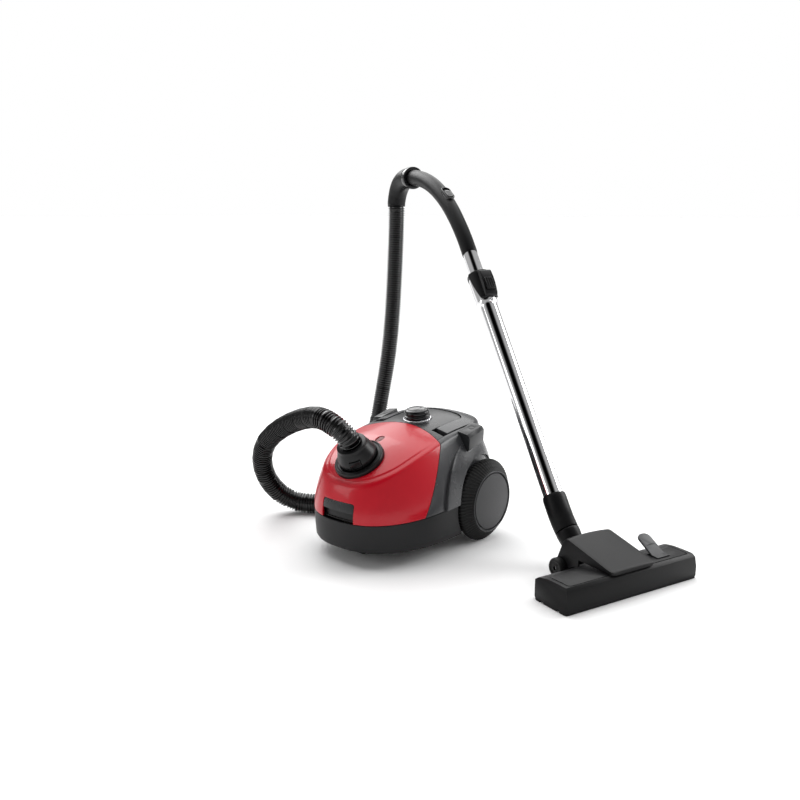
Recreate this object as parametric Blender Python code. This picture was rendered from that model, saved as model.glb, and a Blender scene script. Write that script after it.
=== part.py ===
"""Canister vacuum cleaner: canister, hose, telescopic wand and floor head.

Metres, +Z up. The canister's front faces -Y. Run with: blender --background --python part.py
"""
import math

import bmesh
import bpy
from mathutils import Matrix, Vector

# ---------------------------------------------------------------- driving dimensions
GAP = 0.0004                 # air between neighbouring solids that touch on the real object
SEAM = 0.0006                # half of a visible seam between two housings
WALL = 0.0025                # moulded wall thickness
ROUND = 20                   # sides of an ordinary round piece
MERGE = 1e-6                 # corners nearer than this are one corner

# where the three stations stand on the floor
CANISTER_AT = Vector((-0.0467, -0.0460, 0.0))
HEAD_AT = Vector((0.3633, -0.0901, 0.0))
HEAD_TURN = math.radians(71.6)
WAND_TURN = math.radians(62.6)
WAND_LEAN = math.radians(40.2)

# canister body; lengths are measured from the rear axle
BODY_MIDDLE = -0.086
BODY_HALF_LENGTH = 0.171
BODY_HALF_WIDTH = 0.122
BODY_BOTTOM = 0.025
SHOULDER_START = 0.085       # height at which the side walls begin to lean in
SHOULDER_LEAN = 6.5
REAR_UPRIGHT = 0.65          # share of the lean that the rear wall does without
TOP_PROFILE = ((-0.275, 0.095), (-0.242, 0.137), (-0.200, 0.168), (-0.146, 0.194), (-0.076, 0.210),
               (0.000, 0.217), (0.035, 0.216), (0.070, 0.206), (0.100, 0.188))
TOP_CROWN = 0.014            # drop of the top surface from the middle to CROWN_HALF
CROWN_HALF = 0.09
TUB_SEAM_Z = 0.0835          # height of the tub's top edge at the middle of its length
TUB_SEAM_SLOPE = 0.05
LID_SEAM_FOOT = Vector((0.0, -0.159, 0.088))
LID_SEAM_SLOPE = 0.55
LID_SEAM_BULGE = 0.016
LID_HINGE = Vector((0.0, -0.0745, 0.2115))

WHEEL_SIDES = 32
WHEEL_RADIUS = 0.074
WHEEL_IN = 0.112             # inner face of a rear wheel, from the middle plane
WELL_RADIUS = 0.080
WELL_DEEP = 0.108
AXLE_RADIUS = 0.006

INLET = Vector((0.0, -0.200, 0.171))
INLET_TILT = math.radians(32)
BUTTON_TURN = math.radians(38)

INDICATOR_Y = -0.146
INDICATOR_TILT = math.radians(20)

KNOB_AT = Vector((0.0, -0.044, 0.2135))
KNOB_TILT = math.radians(5.5)

PANEL_HALF = 0.083           # control panel on the canister's back
PANEL_FRONT = -0.16
PANEL_BACK = 0.067
PANEL_CORNER = 0.045
PANEL_FLOOR = 0.160

BAIL_OUT = 0.080             # U-shaped carry handle: outer and inner half widths
BAIL_IN = 0.059
BAIL_OUT_BACK = 0.064
BAIL_IN_BACK = 0.027
BAIL_OUT_CORNER = 0.050
BAIL_IN_CORNER = 0.030
BAIL_SQUASH = 0.7            # depth of a corner of the handle against its width
BAIL_FRONT = -0.062
BAIL_THICK = 0.008
BAIL_SLOT_HALF = 0.0115      # slots in which the handle's front ends swing down
BAIL_SWING_ROOM = 0.0095
BAIL_PIVOT = Vector((0.0, -0.055, 0.1935))

PEDAL_MIDDLE = Vector((0.099, -0.015, 0.190))
PEDAL_SIZE = Vector((0.026, 0.044, 0.030))
PEDAL_SLOPE = math.radians(12)
PEDAL_SIDE_SLOPE = math.radians(10)
PEDAL_AIR = Vector((0.001, 0.001, 0.0035))   # room round and under a pedal in its opening

CASTER_AT = Vector((0.0, -0.205, 0.0))
CASTER_RADIUS = 0.0120
CASTER_TRAIL = 0.010

MOTOR_AT = Vector((-0.046, -0.030, 0.088))
REEL_AT = Vector((0.050, -0.004, 0.096))
CORD_OUTLET = Vector((0.050, 0.080, 0.060))

# floor head; local X along its length, local -Y to its front
HEAD_HALF = 0.140
HEAD_FRONT = -0.036
HEAD_BACK = 0.043
HEAD_TOP = 0.041
SOLE_THICK = 0.004
BRUSH_FRONT = (-0.0300, -0.0255)
BRUSH_REAR = (0.0330, 0.0375)
PEDAL_HINGE = Vector((0.080, -0.0045, 0.0415))
ROLLER_RADIUS = 0.0165
ROLLER_Y = 0.084
ELBOW_SEAM = Vector((0.0, 0.123, 0.058))
NECK_TOP = Vector((0.0, 0.159, 0.108))
ELBOW_RADIUS = 0.0205

# wand; lengths along the tube are measured from the neck's upper rim
LOWER_RADIUS = 0.0175
UPPER_RADIUS = 0.0140
TUBE_WALL = 0.0010
FLARE_RADIUS = 0.0203
FLARE_START = 0.388
LOWER_END = 0.452
UPPER_END = 0.530
NECK_SOCKET = 0.028

HOSE_RADIUS = 0.019
GRIP_RADIUS = 0.0165

# middle lines of the grip and the hose cuff, out from the wand's foot and up
GRIP_LINE = ((0.3300, 0.4982), (0.3550, 0.5275), (0.3830, 0.5550), (0.4180, 0.5840), (0.4570, 0.6090),
             (0.5020, 0.6300), (0.5500, 0.6440), (0.6000, 0.6510), (0.6280, 0.6515))
CUFF_LINE = ((0.6310, 0.6515), (0.6600, 0.6490), (0.6840, 0.6390), (0.7010, 0.6220), (0.7110, 0.6000),
             (0.7110, 0.5900))
SLIDER_AT = (0.4440, 0.6010)

# route of the hose's middle line, measured from the rear axle like the rest of the canister
HOSE_ROUTE = ((0.000, -0.2193, 0.2019), (0.000, -0.2216, 0.2055), (0.000, -0.2238, 0.2091),
              (-0.008, -0.2310, 0.2210),
              (-0.024, -0.2370, 0.2330), (-0.056, -0.2370, 0.2400), (-0.112, -0.2240, 0.2270),
              (-0.177, -0.2120, 0.1990), (-0.233, -0.2000, 0.1620), (-0.263, -0.1880, 0.1200),
              (-0.272, -0.1690, 0.0760), (-0.264, -0.1420, 0.0390), (-0.241, -0.1180, 0.0215),
              (-0.211, -0.0980, 0.0195), (-0.190, -0.0680, 0.0195), (-0.182, -0.0300, 0.0195),
              (-0.190, 0.0100, 0.0195), (-0.209, 0.0550, 0.0195), (-0.240, 0.1050, 0.0195),
              (-0.282, 0.1550, 0.0200), (-0.325, 0.2000, 0.0290), (-0.360, 0.2400, 0.0560),
              (-0.379, 0.2730, 0.1000), (-0.380, 0.2930, 0.1700), (-0.374, 0.3060, 0.2500),
              (-0.370, 0.3150, 0.3400), (-0.370, 0.3230, 0.4300), (-0.3715, 0.3305, 0.5200),
              (-0.3722, 0.3333, 0.5750), (-0.3722, 0.3333, 0.5822), (-0.3722, 0.3333, 0.5894))

COLOURS = {
    "red": (0.55, 0.010, 0.018), "dark": (0.045, 0.046, 0.048), "black": (0.012, 0.012, 0.013),
    "rubber": (0.018, 0.018, 0.018), "chrome": (0.80, 0.80, 0.81), "steel": (0.55, 0.55, 0.56),
    "paper": (0.75, 0.72, 0.64), "foam": (0.30, 0.30, 0.31), "board": (0.03, 0.16, 0.06),
    "grey": (0.30, 0.31, 0.32), "bristle": (0.03, 0.03, 0.03), "hose": (0.020, 0.020, 0.021),
}
METALS = ("chrome", "steel")


# ---------------------------------------------------------------- helpers
def clear_scene():
    for obj in list(bpy.data.objects):
        bpy.data.objects.remove(obj, do_unlink=True)


def material(name):
    found = bpy.data.materials.get(name)
    if found:
        return found
    made = bpy.data.materials.new(name)
    made.use_nodes = True
    shader = made.node_tree.nodes["Principled BSDF"]
    shader.inputs["Base Color"].default_value = COLOURS[name] + (1.0,)
    shader.inputs["Metallic"].default_value = 1.0 if name in METALS else 0.0
    shader.inputs["Roughness"].default_value = 0.15 if name in METALS else 0.45
    return made


def add_object(name, bm, colour, station, pivot=(0, 0, 0)):
    """Turn a bmesh in a station's frame into an object whose origin lies at the pivot."""
    bmesh.ops.recalc_face_normals(bm, faces=bm.faces)
    bmesh.ops.translate(bm, verts=bm.verts, vec=-Vector(pivot))
    mesh = bpy.data.meshes.new(name)
    bm.to_mesh(mesh)
    bm.free()
    obj = bpy.data.objects.new(name, mesh)
    bpy.context.scene.collection.objects.link(obj)
    obj.matrix_world = station @ Matrix.Translation(pivot)
    mesh.materials.append(material(colour))
    return obj


def set_pivot(obj, pivot):
    """Move a finished object's origin to the axis of its joint, leaving the solid where it is."""
    obj.data.transform(Matrix.Translation(-Vector(pivot)))
    obj.matrix_world = obj.matrix_world @ Matrix.Translation(pivot)
    return obj


def box_mesh(low, high):
    bm = bmesh.new()
    bmesh.ops.create_cube(bm, size=1.0)
    low, high = Vector(low), Vector(high)
    for vert in bm.verts:
        vert.co = Vector((low[i] if vert.co[i] < 0 else high[i]) for i in range(3))
    return bm


def bevel_edges(bm, width, segments=1, angle=math.radians(30), pick=None):
    edges = [e for e in bm.edges if len(e.link_faces) == 2 and e.calc_face_angle() > angle]
    if pick:
        edges = [e for e in edges if pick(e)]
    bmesh.ops.bevel(bm, geom=edges, offset=width, segments=segments, profile=0.5, affect="EDGES")
    return bm


def is_upright(edge):
    run = edge.verts[1].co - edge.verts[0].co
    return abs(run.z) > 0.9 * run.length


def ring_mesh(rings, closed_tube=False):
    """Skin a list of equal rings of points; the first and last are capped, or joined in a loop."""
    bm = bmesh.new()
    made = [[bm.verts.new(p) for p in ring] for ring in rings]
    count = len(made[0])
    pairs = list(zip(made, made[1:]))
    if closed_tube:
        pairs.append((made[-1], made[0]))
    for one, two in pairs:
        for i in range(count):
            j = (i + 1) % count
            bm.faces.new((one[i], one[j], two[j], two[i]))
    if not closed_tube:
        bm.faces.new(list(reversed(made[0])))
        bm.faces.new(made[-1])
    return bm


def circle(radius, z, sides=ROUND):
    return [Vector((radius * math.cos(math.tau * i / sides), radius * math.sin(math.tau * i / sides), z))
            for i in range(sides)]


def turned(profile, sides=ROUND):
    """Solid of revolution about local Z from (radius, height) pairs, a loop unless it starts at the axis."""
    if profile[0][0] > 0:
        return ring_mesh([circle(r, z, sides) for r, z in profile], closed_tube=True)
    return ring_mesh([circle(r, z, sides) for r, z in profile if r > 0])


def tube_mesh(outer, inner, low, high, sides=ROUND):
    return turned(((outer, low), (outer, high), (inner, high), (inner, low)), sides)


def rod_mesh(radius, low, high, sides=ROUND):
    return turned(((0, low), (radius, low), (radius, high), (0, high)), sides)


def move(bm, matrix):
    bmesh.ops.transform(bm, matrix=matrix, verts=bm.verts)
    return bm


def along_x(place):
    """Local Z of a turned piece laid along +X at a place."""
    return Matrix.Translation(place) @ Matrix.Rotation(math.pi / 2, 4, "Y")


def along_y(place):
    return Matrix.Translation(place) @ Matrix.Rotation(-math.pi / 2, 4, "X")


def smooth_route(points, per_span=4):
    """Points on a Catmull-Rom curve through the route's own points."""
    pts = [Vector(p) for p in points]
    pts = [pts[0] * 2 - pts[1]] + pts + [pts[-1] * 2 - pts[-2]]
    out = []
    for i in range(1, len(pts) - 2):
        p0, p1, p2, p3 = pts[i - 1:i + 3]
        for k in range(per_span):
            t = k / per_span
            out.append(0.5 * (2 * p1 + (p2 - p0) * t + (2 * p0 - 5 * p1 + 4 * p2 - p3) * t * t
                              + (3 * p1 - p0 - 3 * p2 + p3) * t ** 3))
    out.append(pts[-2])
    return out


def swept(points, radii, inner=None, sides=ROUND, side=Vector((1, 0, 0))):
    """Round tube along points lying near one plane, whose normal is side; inner makes it hollow."""
    count = len(points)

    def ring(i, radius):
        ahead = points[min(i + 1, count - 1)] - points[max(i - 1, 0)]
        across = (side - ahead.normalized() * side.dot(ahead.normalized())).normalized()
        up = ahead.normalized().cross(across)
        turns = [math.tau * k / sides for k in range(sides)]
        return [points[i] + radius * (across * math.cos(t) + up * math.sin(t)) for t in turns]

    outer_rings = [ring(i, radii[i]) for i in range(count)]
    if inner is None:
        return ring_mesh(outer_rings)
    inner_rings = [ring(i, radii[i] - inner) for i in reversed(range(count))]
    return ring_mesh(outer_rings + inner_rings, closed_tube=True)


def prism(outline, low, high):
    """Upright prism from a plan outline of (x, y) points."""
    return ring_mesh([[Vector((x, y, z)) for x, y in outline] for z in (low, high)])


def boolean(obj, bm, operation):
    """Cut, join or keep the common volume with another mesh, at once."""
    bmesh.ops.recalc_face_normals(bm, faces=bm.faces)
    mesh = bpy.data.meshes.new("tool")
    bm.to_mesh(mesh)
    bm.free()
    tool = bpy.data.objects.new("tool", mesh)
    bpy.context.scene.collection.objects.link(tool)
    tool.matrix_world = world_of(obj)
    modifier = obj.modifiers.new("shape", "BOOLEAN")
    modifier.operation = operation
    modifier.object = tool
    bpy.context.view_layer.update()
    result = bpy.data.meshes.new_from_object(obj.evaluated_get(bpy.context.evaluated_depsgraph_get()))
    obj.modifiers.remove(modifier)
    obj.data = result
    bpy.data.objects.remove(tool, do_unlink=True)
    tidy = bmesh.new()
    tidy.from_mesh(result)
    bmesh.ops.remove_doubles(tidy, verts=tidy.verts, dist=MERGE)
    tidy.to_mesh(result)
    tidy.free()
    return obj


def world_of(obj):
    bpy.context.view_layer.update()
    return obj.matrix_world.copy()


def shade(obj, angle=35):
    obj.data.shade_smooth()
    obj.data.set_sharp_from_angle(angle=math.radians(angle))
    return obj


# ---------------------------------------------------------------- canister body surface
def top_height(x, y):
    """Height of the canister's crowned top at a plan position."""
    pts = TOP_PROFILE
    k = next((i for i in range(len(pts) - 1) if y < pts[i + 1][0]), len(pts) - 2)
    (y0, z0), (y1, z1) = pts[k], pts[k + 1]

    def slope(i):
        low, high = max(i - 1, 0), min(i + 1, len(pts) - 1)
        return (pts[high][1] - pts[low][1]) / (pts[high][0] - pts[low][0])

    span = y1 - y0
    t = min(max((y - y0) / span, 0.0), 1.0)
    middle = (z0 * (1 + 2 * t) * (1 - t) ** 2 + slope(k) * span * t * (1 - t) ** 2
              + z1 * t * t * (3 - 2 * t) + slope(k + 1) * span * t * t * (t - 1))
    return middle - TOP_CROWN * (x / CROWN_HALF) ** 2


def wall_point(angle, z):
    """Point of the side wall at a plan angle (0 = +X, 90 degrees = rear) and height."""
    c, s = math.cos(angle), math.sin(angle)
    power = 2.45 if s < 0 else 3.2
    reach = (abs(c) ** power + abs(s) ** power) ** (-1 / power)
    inward = SHOULDER_LEAN * (1 - REAR_UPRIGHT * max(0.0, s) ** 2)
    lean = 1 - inward * max(0.0, z - SHOULDER_START) ** 1.5
    tuck = 1 - 0.02 * max(0.0, (SHOULDER_START - z) / 0.06) ** 2
    return Vector((BODY_HALF_WIDTH * reach * c * lean * tuck,
                   BODY_MIDDLE + BODY_HALF_LENGTH * reach * s * lean * tuck, z))


def crease_height(angle):
    low, high = 0.09, 0.235
    for _ in range(30):
        middle = (low + high) / 2
        p = wall_point(angle, middle)
        if top_height(p.x, p.y) > middle:
            low = middle
        else:
            high = middle
    return low


def body_mesh(inset=0.0, around=44, walls=(0.0, 0.35, 0.68, 1.0), tops=(0.10, 0.45, 0.8)):
    """Closed surface of the whole canister body, or of the hollow an inset inside it."""
    rings = []
    angles = [math.tau * (i + 0.5) / around for i in range(around)]
    start = BODY_BOTTOM + 0.006
    shrink = 1 - inset / BODY_HALF_WIDTH
    centre = Vector((0.0, BODY_MIDDLE, 0.0))

    def shrunk(p, amount):
        return Vector((p.x * amount, centre.y + (p.y - centre.y) * amount, p.z))

    for reach, z in ((0.86, BODY_BOTTOM + inset), (0.955, BODY_BOTTOM + inset)):
        ring = [shrunk(wall_point(a, start), reach * shrink) for a in angles]
        rings.append([Vector((p.x, p.y, z)) for p in ring])
    heights = [crease_height(a) for a in angles]
    for t in walls:
        ring = [shrunk(wall_point(a, start + (h - start) * t), shrink) for a, h in zip(angles, heights)]
        rings.append([p - Vector((0, 0, inset * t)) for p in ring])
    crease = rings[-1]
    for u in tops:
        ring = []
        for p in crease:
            spine_y = BODY_MIDDLE + (p.y - BODY_MIDDLE) * 0.55
            q = p.lerp(Vector((0.0, spine_y, 0.0)), u)
            ring.append(Vector((q.x, q.y, top_height(q.x, q.y) - inset)))
        rings.append(ring)
    bm = ring_mesh(rings)
    bm.faces.ensure_lookup_table()
    peak = bmesh.ops.poke(bm, faces=[bm.faces[-1]])["verts"][0]
    peak.co.z = top_height(peak.co.x, peak.co.y) - inset
    return bm


def block_between(side, margin):
    """Solid on one side of the lid's rear seam: side -1 in front of it, +1 behind it."""
    rings = []
    for i in range(13):
        x = -0.18 + 0.03 * i
        bulge = LID_SEAM_BULGE * (1 - min(abs(x) / BODY_HALF_WIDTH, 1.0) ** 2)
        ring = []
        for y, z in ((None, -0.05), (None, 0.30), (side * 0.4, 0.30), (side * 0.4, -0.05)):
            if y is None:
                y = LID_SEAM_FOOT.y + bulge + LID_SEAM_SLOPE * (z - LID_SEAM_FOOT.z) + side * margin
            ring.append(Vector((x, y, z)))
        rings.append(ring)
    return ring_mesh(rings)


def block_beside_tub(side, margin):
    """Solid on one side of the tub's upper seam: side -1 below it, +1 above it."""
    corners = [(y, TUB_SEAM_Z + y * TUB_SEAM_SLOPE + side * margin) for y in (-0.4, 0.4)]
    corners += [(0.4, side * 0.5), (-0.4, side * 0.5)]
    return ring_mesh([[Vector((x, BODY_MIDDLE + y, z)) for y, z in corners] for x in (-0.2, 0.2)])


def lowered_body(depth):
    """Everything deeper than a depth under the canister's top, spread past its side walls."""
    middle = Vector((0, BODY_MIDDLE, 0))
    spread = Matrix.Diagonal((1.06, 1.06, 1.0, 1.0))
    return move(body_mesh(), Matrix.Translation(middle - Vector((0, 0, depth))) @ spread
                @ Matrix.Translation(-middle))


def mirror_sides():
    return (("left", 1), ("right", -1))


# ---------------------------------------------------------------- canister housings
def well_cylinder(radius, deep, side):
    """Cylinder that opens out of one side of the body from a depth outwards."""
    outward = Matrix.Rotation(side * math.pi / 2, 4, "Y")
    return move(rod_mesh(radius, 0.0, 0.08, 28), Matrix.Translation((side * deep, 0, WHEEL_RADIUS)) @ outward)


def object_mesh(obj):
    """Take an object's solid out as a bmesh and delete the object."""
    solid = bmesh.new()
    solid.from_mesh(obj.data)
    bpy.data.objects.remove(obj, do_unlink=True)
    return solid


def make_hollow(station):
    """Air inside the housings: the body's inside without the two cups of the wheel wells."""
    hollow = add_object("hollow", body_mesh(WALL), "dark", station)
    for _, side in mirror_sides():
        boolean(hollow, well_cylinder(WELL_RADIUS + WALL, WELL_DEEP - WALL, side), "DIFFERENCE")
    return hollow


def housing(name, colour, station, hollow, blocks):
    """One thin-walled part of the body: the share of it that lies inside every block."""
    obj = add_object(name, body_mesh(), colour, station)
    for block in blocks:
        boolean(obj, block, "INTERSECT")
    for _, side in mirror_sides():
        boolean(obj, well_cylinder(WELL_RADIUS, WELL_DEEP, side), "DIFFERENCE")
    solid = bmesh.new()
    solid.from_mesh(hollow.data)
    return boolean(obj, solid, "DIFFERENCE")


def make_chassis(hollow, station):
    chassis = housing("chassis", "dark", station, hollow, [block_beside_tub(-1, SEAM)])
    boolean(chassis, move(rod_mesh(0.034, BODY_BOTTOM, 0.047), Matrix.Translation(CASTER_AT)), "UNION")
    boolean(chassis, move(rod_mesh(0.0285, 0.0, 0.036), Matrix.Translation(CASTER_AT)), "DIFFERENCE")
    boolean(chassis, move(rod_mesh(0.0046, 0.03, 0.0445, 12), Matrix.Translation(CASTER_AT)), "DIFFERENCE")
    for _, side in mirror_sides():
        boolean(chassis, move(rod_mesh(AXLE_RADIUS + GAP, -0.01, 0.01, 16),
                              along_x(Vector((side * WELL_DEEP, 0, WHEEL_RADIUS)))), "DIFFERENCE")
    boolean(chassis, move(rod_mesh(0.0110, -0.025, 0.025, 16), along_y(CORD_OUTLET)), "DIFFERENCE")
    return shade(chassis)


def make_lid(hollow, station):
    blocks = [block_beside_tub(1, SEAM), block_between(-1, SEAM)]
    lid = housing("front_lid", "red", station, hollow, blocks)
    boolean(lid, move(rod_mesh(0.0445, -0.03, 0.03), inlet_frame()), "DIFFERENCE")
    boolean(lid, box_mesh((-0.0354, -0.28, 0.05), (0.0354, -0.235, 0.1090)), "DIFFERENCE")
    boolean(lid, move(rod_mesh(0.0055, -0.01, 0.01, 12), indicator_frame()), "DIFFERENCE")
    return shade(set_pivot(lid, LID_HINGE))


def panel_outline(margin):
    """Plan outline of the control panel on the canister's back."""
    half, back = PANEL_HALF - margin, PANEL_BACK - margin
    points = [(half, PANEL_FRONT), (half, back - PANEL_CORNER)]
    for i in range(1, 7):
        turn = math.pi / 2 * i / 6
        x, y = half - PANEL_CORNER * (1 - math.cos(turn)), back - PANEL_CORNER * (1 - math.sin(turn))
        points.append((x, y))
    return points + [(-x, y) for x, y in reversed(points)]


def bail_outline(margin, front_margin):
    """Plan outline of the U-shaped carry handle, grown by a margin."""
    def side(half, back, corner, front):
        points = [(half, front)]
        for i in range(7):
            turn = math.pi / 2 * i / 6
            x = half - corner * (1 - math.cos(turn))
            points.append((x, back - corner * BAIL_SQUASH * (1 - math.sin(turn))))
        return points

    front = BAIL_FRONT - front_margin
    outer = side(BAIL_OUT + margin, BAIL_OUT_BACK + margin, BAIL_OUT_CORNER + margin, front)
    inner = side(BAIL_IN - margin, BAIL_IN_BACK - margin, BAIL_IN_CORNER - margin, front)
    outer += [(-x, y) for x, y in reversed(outer)]
    inner += [(-x, y) for x, y in reversed(inner)]
    return outer, inner


def bail_prism(margin, front_margin):
    outer, inner = bail_outline(margin, front_margin)
    return prism(outer + list(reversed(inner)), 0.10, 0.26)


def make_rear_housing(hollow, station):
    blocks = [block_beside_tub(1, SEAM), block_between(1, SEAM)]
    rear = housing("rear_housing", "dark", station, hollow, blocks)
    boolean(rear, prism(panel_outline(-GAP), PANEL_FLOOR - GAP, 0.26), "DIFFERENCE")
    low = -PEDAL_SIZE / 2 - PEDAL_AIR
    high = PEDAL_SIZE / 2 + Vector((PEDAL_AIR.x, PEDAL_AIR.y, 0.02))
    for _, side in mirror_sides():
        boolean(rear, move(box_mesh(low, high), pedal_frame(side)), "DIFFERENCE")
    opening = box_mesh((-0.0455, -0.02, -0.0225), (0.0455, 0.02, 0.0225))
    boolean(rear, move(opening, grille_frame()), "DIFFERENCE")
    return shade(rear)


def make_top_panel(station):
    panel = add_object("top_panel", body_mesh(), "dark", station)
    boolean(panel, prism(panel_outline(0.0), PANEL_FLOOR, 0.26), "INTERSECT")
    boolean(panel, block_between(1, SEAM), "INTERSECT")
    boolean(panel, lowered_body(0.0115), "DIFFERENCE")
    pocket = add_object("pocket", lowered_body(WALL), "dark", station)
    boolean(pocket, box_mesh((-0.054, -0.12, 0.12), (0.054, 0.020, 0.26)), "INTERSECT")
    boolean(panel, object_mesh(pocket), "DIFFERENCE")
    channel = add_object("channel", bail_prism(0.0012, 0.0030), "dark", station)
    boolean(channel, lowered_body(BAIL_THICK + 0.0008), "DIFFERENCE")
    boolean(panel, object_mesh(channel), "DIFFERENCE")
    for _, side in mirror_sides():
        middle = side * (BAIL_OUT + BAIL_IN) / 2
        low = (middle - BAIL_SLOT_HALF, BAIL_FRONT - BAIL_SWING_ROOM, 0.15)
        high = (middle + BAIL_SLOT_HALF, BAIL_FRONT + 0.012, 0.25)
        boolean(panel, box_mesh(low, high), "DIFFERENCE")
    boolean(panel, move(rod_mesh(0.0268, -0.03, 0.03), knob_frame()), "DIFFERENCE")
    return shade(panel)


def make_bail(station):
    bail = add_object("carry_handle", body_mesh(), "dark", station)
    boolean(bail, bail_prism(0.0, 0.0), "INTERSECT")
    boolean(bail, lowered_body(BAIL_THICK), "DIFFERENCE")
    return shade(set_pivot(bail, BAIL_PIVOT))


# ---------------------------------------------------------------- canister fittings
def inlet_frame():
    return Matrix.Translation(INLET) @ Matrix.Rotation(INLET_TILT, 4, "X")


def indicator_frame():
    place = (0, INDICATOR_Y, top_height(0, INDICATOR_Y))
    return Matrix.Translation(place) @ Matrix.Rotation(INDICATOR_TILT, 4, "X")


def knob_frame():
    return Matrix.Translation(KNOB_AT) @ Matrix.Rotation(KNOB_TILT, 4, "X")


def pedal_frame(side):
    place = Vector((side * PEDAL_MIDDLE.x, PEDAL_MIDDLE.y, PEDAL_MIDDLE.z))
    return (Matrix.Translation(place) @ Matrix.Rotation(PEDAL_SLOPE, 4, "X")
            @ Matrix.Rotation(side * PEDAL_SIDE_SLOPE, 4, "Y"))


def grille_frame():
    return Matrix.Translation((0, 0.0785, 0.125)) @ Matrix.Rotation(math.radians(7), 4, "X")


def make_inlet(station):
    collar = move(turned(((0.0440, -0.012), (0.0440, 0.0015), (0.0415, 0.0040), (0.0390, 0.0025),
                          (0.0375, 0.0040), (0.0345, 0.0030), (0.0345, -0.012))), inlet_frame())
    shade(add_object("inlet_collar", collar, "black", station, LID_HINGE))
    cone = turned(((0.0305, -0.022), (0.0310, 0.0040), (0.0342, 0.0050), (0.0338, 0.012),
                   (0.0285, 0.027), (0.0250, 0.033), (0.0245, 0.036), (0.0170, 0.036), (0.0170, -0.022)))
    connector = add_object("hose_connector", move(cone, inlet_frame()), "black", station)
    button_frame = inlet_frame() @ Matrix.Rotation(BUTTON_TURN, 4, "Z")
    opening = box_mesh((-0.0085, -0.042, 0.0065), (0.0085, -0.0270, 0.0195))
    boolean(connector, move(opening, button_frame), "DIFFERENCE")
    shade(set_pivot(connector, INLET))
    block = bevel_edges(box_mesh((-0.0080, -0.0335, 0.0070), (0.0080, -0.0295, 0.0190)), 0.0006)
    add_object("release_button", move(block, button_frame), "black", station, INLET)
    glass = turned(((0, -0.002), (0.0051, -0.002), (0.0051, 0.0006), (0, 0.0006)), 12)
    add_object("bag_full_indicator", move(glass, indicator_frame()), "red", station, LID_HINGE)


def make_latch(station):
    plate = box_mesh((-0.0346, -0.2572, 0.0800), (0.0346, -0.2512, 0.1080))
    bevel_edges(plate, 0.0015)
    add_object("lid_latch", plate, "dark", station, (0, -0.2535, 0.1045))


def make_knob(station):
    knob = turned(((0, -0.010), (0.0050, -0.010), (0.0050, 0.0005), (0.0198, 0.0005), (0.0198, 0.0035),
                   (0.0235, 0.0060), (0.0230, 0.0110), (0.0190, 0.0160), (0.0170, 0.0180), (0, 0.0180)))
    shade(add_object("suction_knob", move(knob, knob_frame()), "black", station, KNOB_AT))
    bezel = turned(((0.0264, -0.006), (0.0264, 0.0008), (0.0255, 0.0018), (0.0205, 0.0018), (0.0205, -0.006)))
    shade(add_object("knob_bezel", move(bezel, knob_frame()), "chrome", station))
    board = box_mesh((-0.030, -0.072, 0.1930), (0.030, -0.012, 0.1946))
    add_object("control_board", board, "board", station)


def make_pedals(station):
    for name, side in (("power_pedal", 1), ("rewind_pedal", -1)):
        block = bevel_edges(box_mesh(-PEDAL_SIZE / 2, PEDAL_SIZE / 2), 0.0020)
        place = pedal_frame(side)
        add_object(name, move(block, place), "dark", station, place.translation)


def make_grille(station):
    grille = box_mesh((-0.0450, -0.0012, -0.0220), (0.0450, 0.0018, 0.0220))
    obj = add_object("exhaust_grille", move(grille, grille_frame()), "dark", station)
    for i in range(6):
        z = -0.0155 + 0.0062 * i
        slot = box_mesh((-0.040, -0.01, z - 0.0016), (0.040, 0.01, z + 0.0016))
        boolean(obj, move(slot, grille_frame()), "DIFFERENCE")
    pad = box_mesh((-0.0430, -0.0150, -0.0200), (0.0430, -0.0020, 0.0200))
    add_object("exhaust_filter", move(pad, grille_frame()), "foam", station)
    bush = turned(((0.0106, -0.006), (0.0106, 0.0025), (0.0140, 0.0030), (0.0135, 0.0060), (0.0065, 0.0070),
                   (0.0050, -0.006)), 16)
    shade(add_object("cord_outlet_bush", move(bush, along_y(CORD_OUTLET)), "rubber", station))


def make_bag_chamber(station):
    turns = [math.tau * i / 24 for i in range(24)]
    outline = [(0.082 * math.cos(t), -0.160 + 0.056 * math.sin(t)) for t in turns]
    bag = add_object("dust_bag", prism(outline, 0.050, 0.2), "paper", station)
    boolean(bag, lowered_body(0.0400), "INTERSECT")
    shade(bag, 60)
    plate = box_mesh((-0.042, -0.036, -0.0290), (0.042, 0.036, -0.0262))
    holder = add_object("bag_holder", move(plate, inlet_frame()), "grey", station)
    boolean(holder, move(rod_mesh(0.0240, -0.04, -0.02), inlet_frame()), "DIFFERENCE")
    plate = box_mesh((-0.098, -0.0900, 0.0295), (0.098, -0.0875, 0.1680))
    wall = add_object("filter_wall", plate, "dark", station)
    boolean(wall, box_mesh((-0.050, -0.1, 0.050), (0.050, -0.08, 0.120)), "DIFFERENCE")
    pad = box_mesh((-0.048, -0.0950, 0.052), (0.048, -0.0860, 0.118))
    add_object("motor_filter", pad, "foam", station)
    make_seal(station)


def make_seal(station):
    """Rubber strip under the lid's edge, round the front of the tub."""
    rings = []
    for i in range(19):
        wall = wall_point(math.radians(205 + 130 * i / 18), TUB_SEAM_Z)
        ring = []
        for inset, rise in ((0.966, 0.0012), (0.966, 0.0034), (0.946, 0.0034), (0.946, 0.0012)):
            y = BODY_MIDDLE + (wall.y - BODY_MIDDLE) * inset
            ring.append(Vector((wall.x * inset, y, TUB_SEAM_Z + TUB_SEAM_SLOPE * (y - BODY_MIDDLE) + rise)))
        rings.append(ring)
    add_object("lid_seal", ring_mesh(rings), "rubber", station)


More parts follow.
